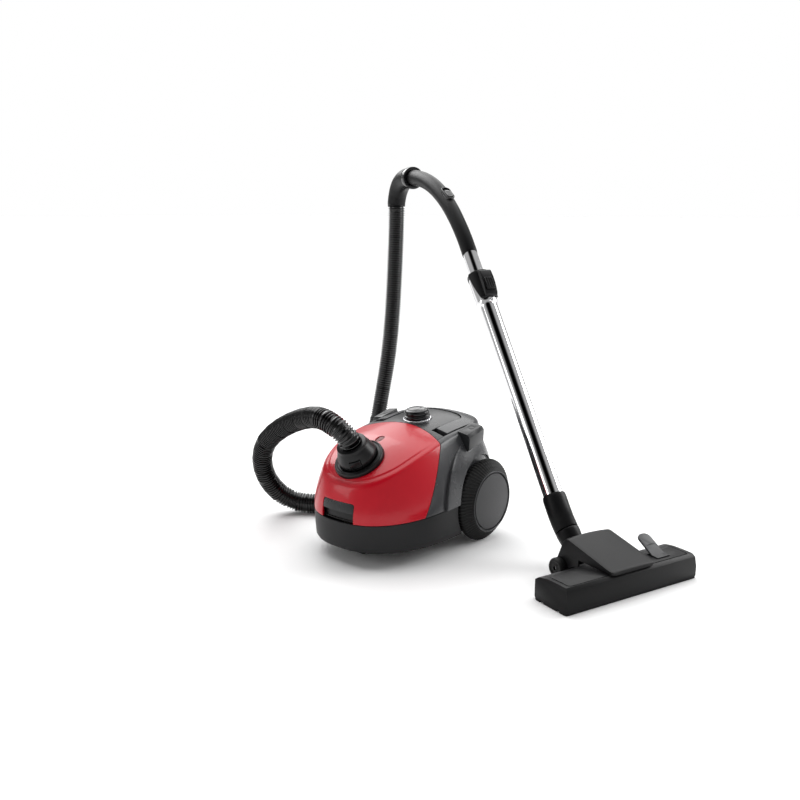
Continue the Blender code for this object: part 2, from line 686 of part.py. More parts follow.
def make_motor(station):
    place = along_y(MOTOR_AT)
    cup = turned(((0, -0.045), (0.043, -0.045), (0.043, 0.045), (0.040, 0.045), (0.040, -0.041), (0, -0.041)))
    shade(add_object("motor_housing", move(cup, place), "steel", station))
    shaft = turned(((0, -0.0405), (0.0040, -0.0405), (0.0040, 0.038), (0, 0.038)), 12)
    add_object("motor_shaft", move(shaft, place), "steel", station, MOTOR_AT)
    blades = []
    for i in range(27):
        radius = (0.0365, 0.0365, 0.0150)[i % 3]
        turn = math.tau * i / 27
        blades.append((radius * math.cos(turn), radius * math.sin(turn)))
    fan = add_object("motor_fan", move(prism(blades, 0.018, 0.030), place), "grey", station)
    boolean(fan, move(rod_mesh(0.0040 + GAP, 0.0, 0.05, 12), place), "DIFFERENCE")
    set_pivot(fan, MOTOR_AT)


def make_reel(station):
    place = along_x(REEL_AT)
    spool = turned(((0.056, -0.024), (0.056, -0.022), (0.030, -0.021), (0.030, 0.021), (0.056, 0.022),
                    (0.056, 0.024), (0.0064, 0.024), (0.0064, -0.024)))
    shade(add_object("cord_reel", move(spool, place), "grey", station, REEL_AT))
    axle = turned(((0, -0.030), (0.0060, -0.030), (0.0060, 0.030), (0, 0.030)), 12)
    add_object("reel_axle", move(axle, place), "steel", station)


# ---------------------------------------------------------------- running gear
def make_rear_wheels(station):
    for name, side in mirror_sides():
        centre = Vector((0, 0, WHEEL_RADIUS))
        place = Matrix.Translation(centre) @ Matrix.Rotation(side * math.pi / 2, 4, "Y")
        tyre = turned(((0.0600, WHEEL_IN), (0.0715, WHEEL_IN), (WHEEL_RADIUS, 0.115), (WHEEL_RADIUS, 0.1215),
                       (0.0725, 0.1235), (0.0565, 0.1372), (0.0545, 0.1372), (0.0545, 0.1300)), WHEEL_SIDES)
        shade(add_object("tyre_" + name, move(tyre, place), "rubber", station, centre))
        rim = turned(((0, 0.1380), (0.0525, 0.1380), (0.0540, 0.1366), (0.0540, 0.1298), (0.0594, 0.1125),
                      (0.0064, 0.1125), (0.0064, 0.1334), (0, 0.1334)), WHEEL_SIDES)
        shade(add_object("wheel_" + name, move(rim, place), "black", station, centre))
        axle = turned(((0, 0.0990), (AXLE_RADIUS, 0.0990), (AXLE_RADIUS, 0.1330), (0, 0.1330)), 16)
        shade(add_object("axle_" + name, move(axle, place), "steel", station))


def make_caster(station):
    hub = CASTER_AT + Vector((0, CASTER_TRAIL, CASTER_RADIUS))
    plate = box_mesh((-0.0115, -0.006, 0.0290), (0.0115, 0.0200, 0.0325))
    fork = add_object("caster_fork", plate, "black", station)
    for side in (-1, 1):
        low, high = sorted((side * 0.0092, side * 0.0115))
        boolean(fork, box_mesh((low, 0.0045, 0.0080), (high, 0.0155, 0.0300)), "UNION")
    boolean(fork, rod_mesh(0.0042, 0.031, 0.0440, 12), "UNION")
    pin = move(rod_mesh(0.0025, -0.0100, 0.0100, 12), along_x(Vector((0, CASTER_TRAIL, CASTER_RADIUS))))
    boolean(fork, pin, "UNION")
    fork.matrix_world = station @ Matrix.Translation(CASTER_AT)
    shoulder = CASTER_RADIUS - 0.0015
    wheel = turned(((0.0030, -0.0085), (shoulder, -0.0085), (CASTER_RADIUS, -0.0070),
                    (CASTER_RADIUS, 0.0070), (shoulder, 0.0085), (0.0030, 0.0085)), 20)
    shade(add_object("caster_wheel", move(wheel, along_x(hub)), "rubber", station, hub))


# ---------------------------------------------------------------- hose
def make_hose(station):
    """The hose in two lengths that meet face to face half way along."""
    points = smooth_route(HOSE_ROUTE, 2)
    half = len(points) // 2
    before, after = points[half], points[half + 1]
    ahead = (after - before).normalized() * GAP
    middle = (before + after) / 2
    hose_piece("hose_front", points[:half + 1] + [middle - ahead], station)
    hose_piece("hose_rear", [middle + ahead] + points[half + 1:], station)


def hose_piece(name, points, station):
    curve = bpy.data.curves.new(name, "CURVE")
    curve.dimensions = "3D"
    spline = curve.splines.new("POLY")
    spline.points.add(len(points) - 1)
    for point, place in zip(spline.points, points):
        point.co = (*place, 1.0)
    curve.bevel_depth = HOSE_RADIUS
    curve.bevel_resolution = 3
    curve.use_fill_caps = True
    obj = bpy.data.objects.new(name, curve)
    bpy.context.scene.collection.objects.link(obj)
    obj.matrix_world = station
    curve.materials.append(material("hose"))


# ---------------------------------------------------------------- floor head
def make_head_body(station):
    shell_mesh = box_mesh((-HEAD_HALF, HEAD_FRONT, SOLE_THICK + GAP), (HEAD_HALF, HEAD_BACK, HEAD_TOP))
    bevel_edges(shell_mesh, 0.012, 3, math.radians(30), is_upright)
    bevel_edges(shell_mesh, 0.005, 2, math.radians(60), lambda e: all(v.co.z > 0.03 for v in e.verts))
    body = add_object("head_body", shell_mesh, "black", station)
    boolean(body, box_mesh((-HEAD_HALF + 0.003, HEAD_FRONT + 0.003, -0.01),
                           (HEAD_HALF - 0.003, HEAD_BACK - 0.003, HEAD_TOP - 0.0045)), "DIFFERENCE")
    boolean(body, box_mesh((-0.020, 0.0, 0.02), (0.020, 0.034, 0.06)), "DIFFERENCE")
    boolean(body, box_mesh((0.0655, -0.0180, 0.02), (0.0945, 0.0065, 0.06)), "DIFFERENCE")
    return shade(body)


def make_sole(station):
    half = HEAD_HALF - 0.001
    outline = box_mesh((-half, HEAD_FRONT + 0.001, 0.0), (half, HEAD_BACK - 0.001, SOLE_THICK))
    bevel_edges(outline, 0.011, 2, math.radians(30), is_upright)
    sole = add_object("head_sole", outline, "grey", station)
    boolean(sole, box_mesh((-0.112, -0.010, -0.01), (0.112, 0.012, 0.02)), "DIFFERENCE")
    for low, high in (BRUSH_FRONT, BRUSH_REAR):
        boolean(sole, box_mesh((-0.121, low - 0.0006, -0.01), (0.121, high + 0.0006, 0.02)), "DIFFERENCE")
    for name, (low, high) in (("brush_front", BRUSH_FRONT), ("brush_rear", BRUSH_REAR)):
        add_object(name, box_mesh((-0.120, low, 0.0008), (0.120, high, 0.0160)), "bristle", station)


def side_profile(points, low, high):
    """Prism along X from a side view outline of (y, z) points."""
    return ring_mesh([[Vector((x, y, z)) for y, z in points] for x in (low, high)])


def make_cover(station):
    outer = ((-0.0330, 0.0414), (-0.0290, 0.0465), (0.0690, 0.0700), (0.0750, 0.0690), (0.0790, 0.0640),
             (0.0945, 0.0260), (0.0950, 0.0130), (0.0880, 0.0075), (0.0780, 0.0085), (0.0620, 0.0240),
             (0.0436, 0.0290), (0.0434, 0.0414))
    hood = bevel_edges(side_profile(outer, -0.046, 0.046), 0.0025, 1, math.radians(70))
    cover = add_object("head_cover", hood, "dark", station)
    inner = ((-0.0250, 0.0300), (-0.0250, 0.0440), (0.0670, 0.0660), (0.1300, 0.0660), (0.1300, -0.0100),
             (0.0500, -0.0100), (0.0500, 0.0300))
    boolean(cover, side_profile(inner, -0.0425, 0.0425), "DIFFERENCE")
    boolean(cover, roller_axle_hole(), "DIFFERENCE")
    return shade(cover, 40)


def roller_hub():
    return Vector((0, ROLLER_Y, ROLLER_RADIUS))


def roller_axle_hole():
    return move(rod_mesh(0.0034, -0.06, 0.06, 12), along_x(roller_hub()))


def make_rollers(station):
    hub = roller_hub()
    rod = move(rod_mesh(0.0030, -0.0560, 0.0560, 12), along_x(hub))
    shade(add_object("roller_axle", rod, "steel", station))
    for name, side in mirror_sides():
        low, high = sorted((side * 0.0466, side * 0.0590))
        wheel = turned(((0.0034, low), (0.0150, low), (ROLLER_RADIUS, low + 0.0015),
                        (ROLLER_RADIUS, high - 0.0015), (0.0150, high), (0.0034, high)), 20)
        shade(add_object("roller_" + name, move(wheel, along_x(hub)), "rubber", station, hub))


def make_head_pedal(station):
    blade = box_mesh((-0.0130, 0.0005, -0.0015), (0.0130, 0.0440, 0.0015))
    bevel_edges(blade, 0.010, 3, math.radians(30), lambda e: all(v.co.y > 0.04 for v in e.verts)
                and abs(e.verts[0].co.z - e.verts[1].co.z) > 0.002)
    move(blade, Matrix.Rotation(math.radians(31), 4, "X"))
    pedal = add_object("head_pedal", blade, "grey", station)
    toe = box_mesh((-0.0130, -0.0120, -0.0015), (0.0130, 0.0030, 0.0015))
    boolean(pedal, move(toe, Matrix.Rotation(math.radians(4), 4, "X")), "UNION")
    pedal.matrix_world = station @ Matrix.Translation(PEDAL_HINGE)
    return shade(pedal)


def make_elbow(station):
    hub = roller_hub()
    run = ELBOW_SEAM - hub
    points = [hub + run * t for t in (0.25, 0.6, 0.9, 1.0)]
    points[-1] -= run.normalized() * GAP
    tube = swept(points, (0.0152, 0.0190, ELBOW_RADIUS, ELBOW_RADIUS))
    elbow = add_object("elbow", tube, "black", station)
    boolean(elbow, move(rod_mesh(0.0146, -0.0400, 0.0400), along_x(hub)), "UNION")
    boolean(elbow, swept([hub + run * t for t in (0.45, 1.2)], (0.0160, 0.0160)), "DIFFERENCE")
    boolean(elbow, roller_axle_hole(), "DIFFERENCE")
    return shade(set_pivot(elbow, hub))


def make_neck(station):
    """Neck from the elbow's seam up to the wand, in the floor head's frame at rest."""
    start = (ELBOW_SEAM - roller_hub()).normalized()
    swing = WAND_TURN - HEAD_TURN
    level = math.sin(WAND_LEAN)
    end = Vector((-math.sin(swing) * level, math.cos(swing) * level, math.cos(WAND_LEAN)))
    joint = NECK_TOP - end * (NECK_SOCKET + 0.001)
    points = [ELBOW_SEAM + start * GAP, ELBOW_SEAM + start * 0.005]
    points += [(points[-1] + joint) / 2 + (start - end) * 0.003, joint, NECK_TOP]
    tube = swept(points, (ELBOW_RADIUS,) * 5, ELBOW_RADIUS - LOWER_RADIUS - GAP)
    neck = add_object("neck", tube, "black", station)
    hook = box_mesh((-0.0045, 0.0206, -0.040), (0.0045, 0.0260, -0.010))
    boolean(neck, move(hook_root(), neck_frame(end)), "UNION")
    boolean(neck, move(hook, neck_frame(end)), "UNION")
    return shade(neck)


def hook_root():
    return box_mesh((-0.0030, 0.0190, -0.0180), (0.0030, 0.0230, -0.0110))


def neck_frame(direction):
    """Frame at the neck's rim: local Z up the tube, local Y to the wand's back."""
    side = Vector((0, 0, 1)).cross(direction).normalized() * -1
    back = direction.cross(side)
    if back.z > 0:
        side, back = -side, -back
    return Matrix.Translation(NECK_TOP) @ Matrix((side, back, direction)).transposed().to_4x4()


# ---------------------------------------------------------------- wand
def make_wand(tube_frame):
    bore, flare_bore = LOWER_RADIUS - TUBE_WALL, FLARE_RADIUS - TUBE_WALL
    lower = turned(((LOWER_RADIUS, -NECK_SOCKET), (LOWER_RADIUS, FLARE_START),
                    (FLARE_RADIUS, FLARE_START + 0.006), (FLARE_RADIUS, LOWER_END),
                    (flare_bore, LOWER_END), (flare_bore, FLARE_START + 0.008),
                    (bore, FLARE_START + 0.002), (bore, -NECK_SOCKET)))
    shade(add_object("lower_tube", lower, "chrome", tube_frame))
    collar = turned(((0.0210, LOWER_END + GAP), (0.0210, 0.4585), (0.0200, 0.4600), (0.0145, 0.4600),
                     (0.0145, 0.4150), (0.0189, 0.4150), (0.0189, LOWER_END + GAP)))
    shade(add_object("tube_collar", collar, "black", tube_frame))
    housing = bevel_edges(box_mesh((-0.0120, -0.0290, 0.3960), (0.0120, -0.0208, 0.4520)), 0.0030)
    lock = add_object("tube_lock_housing", housing, "black", tube_frame)
    boolean(lock, box_mesh((-0.0090, -0.0350, 0.4075), (0.0090, -0.0260, 0.4345)), "DIFFERENCE")
    button = bevel_edges(box_mesh((-0.0085, -0.0320, 0.4080), (0.0085, -0.0285, 0.4340)), 0.0010)
    add_object("tube_lock_button", button, "black", tube_frame, (0, -0.030, 0.421))
    upper = turned(((UPPER_RADIUS, 0.060), (UPPER_RADIUS, UPPER_END), (UPPER_RADIUS - TUBE_WALL, UPPER_END),
                    (UPPER_RADIUS - TUBE_WALL, 0.060)))
    shade(add_object("upper_tube", upper, "chrome", tube_frame))
    glider = turned(((0.0161, 0.060), (0.0161, 0.084), (0.0144, 0.084), (0.0144, 0.060)))
    shade(add_object("tube_glider", glider, "grey", tube_frame))


def slider_frame():
    """Frame on the grip's middle line: local Y along the grip, local Z out through its top."""
    ahead = Vector((0, 0.86, 0.51)).normalized()
    out = Vector((1, 0, 0)).cross(ahead)
    return (Matrix.Translation((0, *SLIDER_AT))
            @ Matrix((Vector((1, 0, 0)), ahead, out)).transposed().to_4x4())


def make_grip(wand_plane):
    line = [Vector((0, s, z)) for s, z in GRIP_LINE]
    radii = [GRIP_RADIUS] * len(line)
    tube = swept(line, radii, GRIP_RADIUS - UPPER_RADIUS - GAP)
    grip = add_object("handle_grip", tube, "black", wand_plane)
    boolean(grip, move(rod_mesh(0.0045, 0.0, 0.03, 12), slider_frame()), "DIFFERENCE")
    shade(grip)
    block = bevel_edges(box_mesh((-0.0080, -0.0170, 0.0180), (0.0080, 0.0130, 0.0225)), 0.0018)
    place = slider_frame()
    add_object("air_slider", move(block, place), "black", wand_plane, place.translation)
    line = [Vector((0, s, z)) for s, z in CUFF_LINE]
    cuff = swept(line, (0.0225, 0.0220, 0.0212, 0.0206, 0.0202, 0.0200), 0.0035)
    shade(add_object("hose_cuff", cuff, "black", wand_plane))
    ring = tube_mesh(0.0240, GRIP_RADIUS + GAP, 0.0, 0.0150)
    place = Matrix.Translation((0, 0.6120, 0.6512)) @ Matrix.Rotation(-math.pi / 2 + 0.01, 4, "X")
    shade(add_object("cuff_ring", move(ring, place), "black", wand_plane))


def main():
    clear_scene()
    canister = Matrix.Translation(CANISTER_AT)
    hollow = make_hollow(canister)
    make_chassis(hollow, canister)
    make_lid(hollow, canister)
    make_rear_housing(hollow, canister)
    bpy.data.objects.remove(hollow, do_unlink=True)
    make_top_panel(canister)
    make_bail(canister)
    make_inlet(canister)
    make_latch(canister)
    make_knob(canister)
    make_pedals(canister)
    make_grille(canister)
    make_bag_chamber(canister)
    make_motor(canister)
    make_reel(canister)
    make_rear_wheels(canister)
    make_caster(canister)
    make_hose(canister)

    head = Matrix.Translation(HEAD_AT) @ Matrix.Rotation(HEAD_TURN, 4, "Z")
    make_head_body(head)
    make_sole(head)
    make_cover(head)
    make_rollers(head)
    make_head_pedal(head)
    make_elbow(head)
    make_neck(head)

    neck_top = head @ NECK_TOP
    wand_plane = Matrix.Translation((neck_top.x, neck_top.y, 0.0)) @ Matrix.Rotation(WAND_TURN, 4, "Z")
    tube_frame = wand_plane @ Matrix.Translation((0, 0, neck_top.z)) @ Matrix.Rotation(-WAND_LEAN, 4, "X")
    make_wand(tube_frame)
    make_grip(wand_plane)


main()
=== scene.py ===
"""Looks for the canister vacuum cleaner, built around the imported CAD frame.

Everything is in metres in the CAD frame. The canister's own measures are taken from its rear axle,
the floor head's from the middle of its sole, and the wand's from the neck's upper rim.
"""
import math

import bmesh
import bpy
from mathutils import Matrix, Vector, noise


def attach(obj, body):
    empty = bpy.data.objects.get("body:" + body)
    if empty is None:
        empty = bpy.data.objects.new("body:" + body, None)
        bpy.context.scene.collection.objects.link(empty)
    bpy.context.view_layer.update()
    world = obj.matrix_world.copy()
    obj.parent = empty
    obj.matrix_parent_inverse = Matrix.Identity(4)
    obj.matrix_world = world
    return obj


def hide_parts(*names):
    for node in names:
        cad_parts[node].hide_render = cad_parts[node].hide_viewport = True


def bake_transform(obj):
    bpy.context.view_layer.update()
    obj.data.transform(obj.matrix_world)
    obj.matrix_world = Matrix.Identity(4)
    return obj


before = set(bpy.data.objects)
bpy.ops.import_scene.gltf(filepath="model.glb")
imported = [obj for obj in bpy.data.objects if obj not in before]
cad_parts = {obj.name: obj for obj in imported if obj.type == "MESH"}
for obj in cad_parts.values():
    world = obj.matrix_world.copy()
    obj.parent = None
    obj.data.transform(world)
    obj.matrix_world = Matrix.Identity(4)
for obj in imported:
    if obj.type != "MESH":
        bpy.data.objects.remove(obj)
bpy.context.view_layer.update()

# ---------------------------------------------------------------- stations
CANISTER = Matrix.Translation((-0.0467, -0.0460, 0.0))
HEAD_TURN = math.radians(71.6)
HEAD = Matrix.Translation((0.3633, -0.0901, 0.0)) @ Matrix.Rotation(HEAD_TURN, 4, "Z")
NECK_TOP = Vector((0.0, 0.159, 0.108))
NECK_FOOT = HEAD @ Vector((0.0, 0.159, 0.0))
WAND_LEAN = math.radians(40.2)
WAND_TURN = math.radians(62.6)
WAND = Matrix.Translation(NECK_FOOT) @ Matrix.Rotation(WAND_TURN, 4, "Z")
TUBE = WAND @ Matrix.Translation((0, 0, NECK_TOP.z)) @ Matrix.Rotation(-WAND_LEAN, 4, "X")

# ---------------------------------------------------------------- canister surface, as in the CAD
WALL = 0.0025                # thickness of the housings
SEAM = 0.0006                # half of the gap between two housings
BODY_MIDDLE = -0.086         # Y of the plan's middle
BODY_HALF_LENGTH = 0.171
BODY_HALF_WIDTH = 0.122
BODY_BOTTOM = 0.025
FRONT_POWER = 2.45           # squareness of the plan, front half and rear half
REAR_POWER = 3.2
SHOULDER_START = 0.085       # height above which the side walls lean in
SHOULDER_LEAN = 6.5
REAR_UPRIGHT = 0.65          # share of that lean which the rear wall lacks
TUCK = 0.02                  # share by which the foot is narrower
TUCK_HEIGHT = 0.06
TOP_PROFILE = ((-0.275, 0.095), (-0.242, 0.137), (-0.200, 0.168), (-0.146, 0.194), (-0.076, 0.210),
               (0.000, 0.217), (0.035, 0.216), (0.070, 0.206), (0.100, 0.188))
TOP_CROWN = 0.014            # drop of the top from the middle to CROWN_HALF
CROWN_HALF = 0.09
TUB_SEAM_Z = 0.0835
TUB_SEAM_SLOPE = 0.05
LID_SEAM_FOOT = Vector((0.0, -0.159, 0.088))
LID_SEAM_SLOPE = 0.55
LID_SEAM_BULGE = 0.016
PANEL_HALF = 0.083
PANEL_BACK = 0.067
PANEL_CORNER = 0.045
PANEL_FLOOR = 0.160
PANEL_THICK = 0.0115
ABOVE_ALL = 0.26             # height that clears the canister, for cutters
WHEEL_Z = 0.074
WELL_RADIUS = 0.080
WELL_DEEP = 0.108
INLET = Matrix.Translation((0, -0.200, 0.171)) @ Matrix.Rotation(math.radians(32), 4, "X")
BUTTON_TURN = math.radians(38)
KNOB = Matrix.Translation((0, -0.044, 0.2135)) @ Matrix.Rotation(math.radians(5.5), 4, "X")
BAIL_OUT = 0.080             # outer and inner edge of the U-shaped carry handle
BAIL_IN = 0.059
BAIL_FRONT = -0.062
BAIL_THICK = 0.008
BAIL_PROUD = 0.0014          # the handle stands this far above the panel
BAIL_SLOT_HALF = 0.0135      # slots in which the handle's front ends swing down
BAIL_SWING_ROOM = 0.0115
PEDAL_SIZE = Vector((0.026, 0.044, 0.030))
CASTER = Vector((0.0, -0.205, 0.0))
CASTER_TRAIL = 0.010
CASTER_RADIUS = 0.0120
FENDER_RADIUS = 0.117        # arches round the rear wheels
FENDER_PROUD = 0.0045
FENDER_SKIN = 0.0004
CREASE_ROUND = 0.005         # rounding between the walls and the top
RIM_INSET = 0.0105           # edge band round the lid's raised top face
RIM_HALF = 0.0012
RIM_STEP = 0.0011
WALL_STEPS = 22              # rings up the walls, then round the rim, then over the top
RIM_RINGS = (0.0075, 0.0093, 0.0101, 0.0109, 0.0117, 0.0130)
TOP_RINGS = (0.18, 0.26, 0.34, 0.42, 0.50, 0.58, 0.66, 0.74, 0.82, 0.90, 0.97)
SPINE_SHARE = 0.55           # length of the top's spine, as a share of the plan
INDICATOR_Y = -0.146

# ---------------------------------------------------------------- studio and hose
DARK_TOWARD = (0.12, -0.52, 0.85)    # direction of the dark patch in the white surroundings
DARK_EDGE = 0.80             # cosines of the dark patch's outer and inner edge
DARK_CORE = 0.97
SURROUND = 0.45              # strength of the light from all round
BACKDROP = 1.0               # brightness behind the floor's horizon
SKY = 2.7                    # strength of the soft light from above and behind
LENS = 40.5
SENSOR = 36.0
CAMERA_AT = Vector((1.0068, -1.2769, 0.5847))
CAMERA_DOWN = math.radians(11.98)
CAMERA_TURN = math.radians(40.36)
HOSE_RADIUS = 0.019          # over the ribs
HOSE_GROOVE = 0.0160         # between the ribs
HOSE_PITCH = 0.0052
HOSE_RIB = ((0.0, 0.0), (0.15, 0.10), (0.30, 0.90), (0.45, 1.0), (0.60, 0.90), (0.80, 0.10))
HOSE_ROUTE = ((0.000, -0.2193, 0.2019), (0.000, -0.2216, 0.2055), (0.000, -0.2238, 0.2091),
              (-0.008, -0.2310, 0.2210), (-0.024, -0.2370, 0.2330), (-0.056, -0.2370, 0.2400),
              (-0.112, -0.2240, 0.2270), (-0.177, -0.2120, 0.1990), (-0.233, -0.2000, 0.1620),
              (-0.263, -0.1880, 0.1200), (-0.272, -0.1690, 0.0760), (-0.264, -0.1420, 0.0390),
              (-0.241, -0.1180, 0.0215), (-0.211, -0.0980, 0.0195), (-0.190, -0.0680, 0.0195),
              (-0.182, -0.0300, 0.0195), (-0.190, 0.0100, 0.0195), (-0.209, 0.0550, 0.0195),
              (-0.240, 0.1050, 0.0195), (-0.282, 0.1550, 0.0200), (-0.325, 0.2000, 0.0290),
              (-0.360, 0.2400, 0.0560), (-0.379, 0.2730, 0.1000), (-0.380, 0.2930, 0.1700),
              (-0.374, 0.3060, 0.2500), (-0.370, 0.3150, 0.3400), (-0.370, 0.3230, 0.4300),
              (-0.3715, 0.3305, 0.5200), (-0.3722, 0.3333, 0.5750), (-0.3722, 0.3333, 0.5822),
              (-0.3722, 0.3333, 0.5894))
ROUND = 64                   # sides of a turned piece, where nothing else is asked for


# ---------------------------------------------------------------- materials
def node(tree, kind, **values):
    """A new shader node with its inputs or settings given by name."""
    made = tree.nodes.new(kind)
    for key, value in values.items():
        if key in made.inputs:
            made.inputs[key].default_value = value
        else:
            setattr(made, key.lower(), value)
    return made


def ramp(tree, source, low, high):
    """Map a 0..1 signal onto a range."""
    made = node(tree, "ShaderNodeMapRange")
    made.inputs["To Min"].default_value = low
    made.inputs["To Max"].default_value = high
    tree.links.new(source, made.inputs["Value"])
    return made.outputs["Result"]


def surface(name, colour, roughness, metallic=0.0, coat=0.0, grain=900.0, grain_depth=0.0, mottle=0.08,
            rough_spread=0.05, specular=0.5, sheen=0.0):
    """Plastic or metal with slight colour mottling, uneven roughness and a fine moulded grain."""
    made = bpy.data.materials.new(name)
    made.use_nodes = True
    tree = made.node_tree
    shader = tree.nodes["Principled BSDF"]
    shader.inputs["Metallic"].default_value = metallic
    shader.inputs["Coat Weight"].default_value = coat
    shader.inputs["Coat Roughness"].default_value = 0.06
    shader.inputs["Specular IOR Level"].default_value = specular
    shader.inputs["Sheen Weight"].default_value = sheen
    where = node(tree, "ShaderNodeTexCoord").outputs["Object"]
    cloud = node(tree, "ShaderNodeTexNoise", Scale=18.0, Detail=4.0, Roughness=0.6)
    tree.links.new(where, cloud.inputs["Vector"])
    mix = node(tree, "ShaderNodeMix", data_type="RGBA")
    mix.inputs[6].default_value = (*[c * (1 - mottle) for c in colour], 1.0)
    mix.inputs[7].default_value = (*[min(c * (1 + mottle), 1.0) for c in colour], 1.0)
    tree.links.new(cloud.outputs["Fac"], mix.inputs[0])
    tree.links.new(mix.outputs[2], shader.inputs["Base Color"])
    tree.links.new(ramp(tree, cloud.outputs["Fac"], roughness - rough_spread, roughness + rough_spread),
                   shader.inputs["Roughness"])
    if grain_depth:
        fine = node(tree, "ShaderNodeTexNoise", Scale=grain, Detail=2.0)
        tree.links.new(where, fine.inputs["Vector"])
        bump = node(tree, "ShaderNodeBump", Strength=0.6, Distance=grain_depth)
        tree.links.new(fine.outputs["Fac"], bump.inputs["Height"])
        tree.links.new(bump.outputs["Normal"], shader.inputs["Normal"])
    return made


# Moulded plastics: material name, colour, roughness, grain scale, grain depth and specular level.
# The colours are dark, since the plastics also mirror their white surroundings.
PLASTICS = {
    "tub": ("tub_grey", (0.013, 0.013, 0.014), 0.44, 1500, 0.00012, 0.22),
    "shell": ("shell_grey", (0.042, 0.043, 0.046), 0.27, 1500, 0.00006, 0.42),
    "panel": ("panel_grey", (0.016, 0.017, 0.018), 0.28, 1500, 0.00006, 0.35),
    "black": ("moulded_black", (0.005, 0.005, 0.0055), 0.32, 1400, 0.00010, 0.25),
    "head": ("head_black", (0.005, 0.005, 0.0055), 0.38, 1300, 0.00015, 0.15),
    "cover": ("cover_grey", (0.009, 0.009, 0.0095), 0.38, 1400, 0.00008, 0.16),
    "rubber": ("rubber_black", (0.008, 0.008, 0.008), 0.50, 1100, 0.00015, 0.25),
    "wheel": ("wheel_grey", (0.026, 0.026, 0.028), 0.36, 1500, 0.00010, 0.3),
    "pedal": ("pedal_grey", (0.040, 0.041, 0.043), 0.34, 1200, 0.00010, 0.2),
    "grey": ("inner_grey", (0.20, 0.21, 0.22), 0.48, 1100, 0.00015, 0.5),
}


def make_materials():
    """Every material by the short name that the pieces use."""
    made = {}
    for key, (name, colour, roughness, grain, depth, specular) in PLASTICS.items():
        made[key] = surface(name, colour, roughness, grain=grain, grain_depth=depth, specular=specular)
    made.update({
        "red": surface("lid_red", (0.50, 0.003, 0.014), 0.30, coat=0.22, grain=320, grain_depth=0.00003,
                       mottle=0.05, specular=0.25),
        "gloss": surface("gloss_black", (0.005, 0.005, 0.006), 0.14, coat=0.3, specular=0.3),
        "hose": surface("hose_black", (0.002, 0.002, 0.0023), 0.20, specular=0.50),
        "chrome": brushed("tube_chrome", (0.83, 0.83, 0.84), 0.09),
        "trim": brushed("trim_silver", (0.62, 0.62, 0.64), 0.22),
        "steel": brushed("turned_steel", (0.50, 0.50, 0.51), 0.30),
        "paper": woven("bag_paper", (0.72, 0.69, 0.61), 900.0, 0.00025),
        "foam": woven("filter_fleece", (0.42, 0.42, 0.43), 1400.0, 0.0005),
        "bristle": woven("bristle_nylon", (0.030, 0.030, 0.030), 1600.0, 0.0006),
        "board": surface("circuit_board", (0.020, 0.13, 0.05), 0.35, mottle=0.25),
        "mark": surface("indicator_red", (0.16, 0.001, 0.002), 0.35, specular=0.2),
    })
    return made


def brushed(name, colour, roughness):
    """Plated or turned metal, with faint draw lines along the object's length."""
    made = surface(name, colour, roughness, metallic=1.0, mottle=0.04, rough_spread=0.03)
    tree = made.node_tree
    shader = tree.nodes["Principled BSDF"]
    where = node(tree, "ShaderNodeTexCoord").outputs["Object"]
    lines = node(tree, "ShaderNodeTexNoise", Scale=260.0, Detail=3.0, Distortion=0.3)
    tree.links.new(where, lines.inputs["Vector"])
    bump = node(tree, "ShaderNodeBump", Strength=0.10, Distance=0.00004)
    tree.links.new(lines.outputs["Fac"], bump.inputs["Height"])
    tree.links.new(bump.outputs["Normal"], shader.inputs["Normal"])
    return made


def woven(name, colour, scale, depth):
    """Fibrous sheet: creased paper, fleece or bristle."""
    return surface(name, colour, 0.85, mottle=0.18, grain=scale, grain_depth=depth, sheen=0.2, specular=0.2)


MATERIALS = make_materials()


# ---------------------------------------------------------------- mesh helpers
def linked(name, data):
    """A new object in the scene for a mesh, camera or light."""
    obj = bpy.data.objects.new(name, data)
    bpy.context.scene.collection.objects.link(obj)
    return obj


def add_piece(name, bm, material, station, body, replaces=(), smooth=35, bevel=0.0):
    """Place a mesh in its station's frame, give it a material and make it ride on a body."""
    bmesh.ops.recalc_face_normals(bm, faces=bm.faces)
    bm.transform(station)
    mesh = bpy.data.meshes.new(name)
    bm.to_mesh(mesh)
    bm.free()
    obj = linked(name, mesh)
    mesh.materials.append(MATERIALS[material])
    if bevel:
        soften = obj.modifiers.new("edges", "BEVEL")
        soften.width = bevel
        soften.segments = 3
        soften.limit_method = "ANGLE"
        soften.angle_limit = math.radians(38)
        apply_modifiers(obj)
    mesh = obj.data
    mesh.shade_smooth()
    mesh.set_sharp_from_angle(angle=math.radians(smooth))
    if body:
        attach(obj, body)
    if replaces:
        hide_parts(*replaces)
    return obj


def apply_modifiers(obj):
    """Keep the shape that an object's modifiers give it."""
    bpy.context.view_layer.update()
    shaped = bpy.data.meshes.new_from_object(obj.evaluated_get(bpy.context.evaluated_depsgraph_get()))
    obj.modifiers.clear()
    obj.data = shaped


def combine(bm, tool, operation):
    """Exact Boolean of two meshes; both are used up and the result is returned."""
    pair = []
    for part in (bm, tool):
        bmesh.ops.recalc_face_normals(part, faces=part.faces)
        mesh = bpy.data.meshes.new("work")
        part.to_mesh(mesh)
        part.free()
        pair.append(linked("work", mesh))
    cut = pair[0].modifiers.new("cut", "BOOLEAN")
    cut.operation = operation
    cut.object = pair[1]
    apply_modifiers(pair[0])
    result = bmesh.new()
    result.from_mesh(pair[0].data)
    for obj in pair:
        bpy.data.objects.remove(obj, do_unlink=True)
    bmesh.ops.remove_doubles(result, verts=result.verts, dist=1e-6)
    return result


def cut(bm, tool):
    return combine(bm, tool, "DIFFERENCE")


def join(bm, tool):
    return combine(bm, tool, "UNION")


def keep(bm, tool):
    return combine(bm, tool, "INTERSECT")


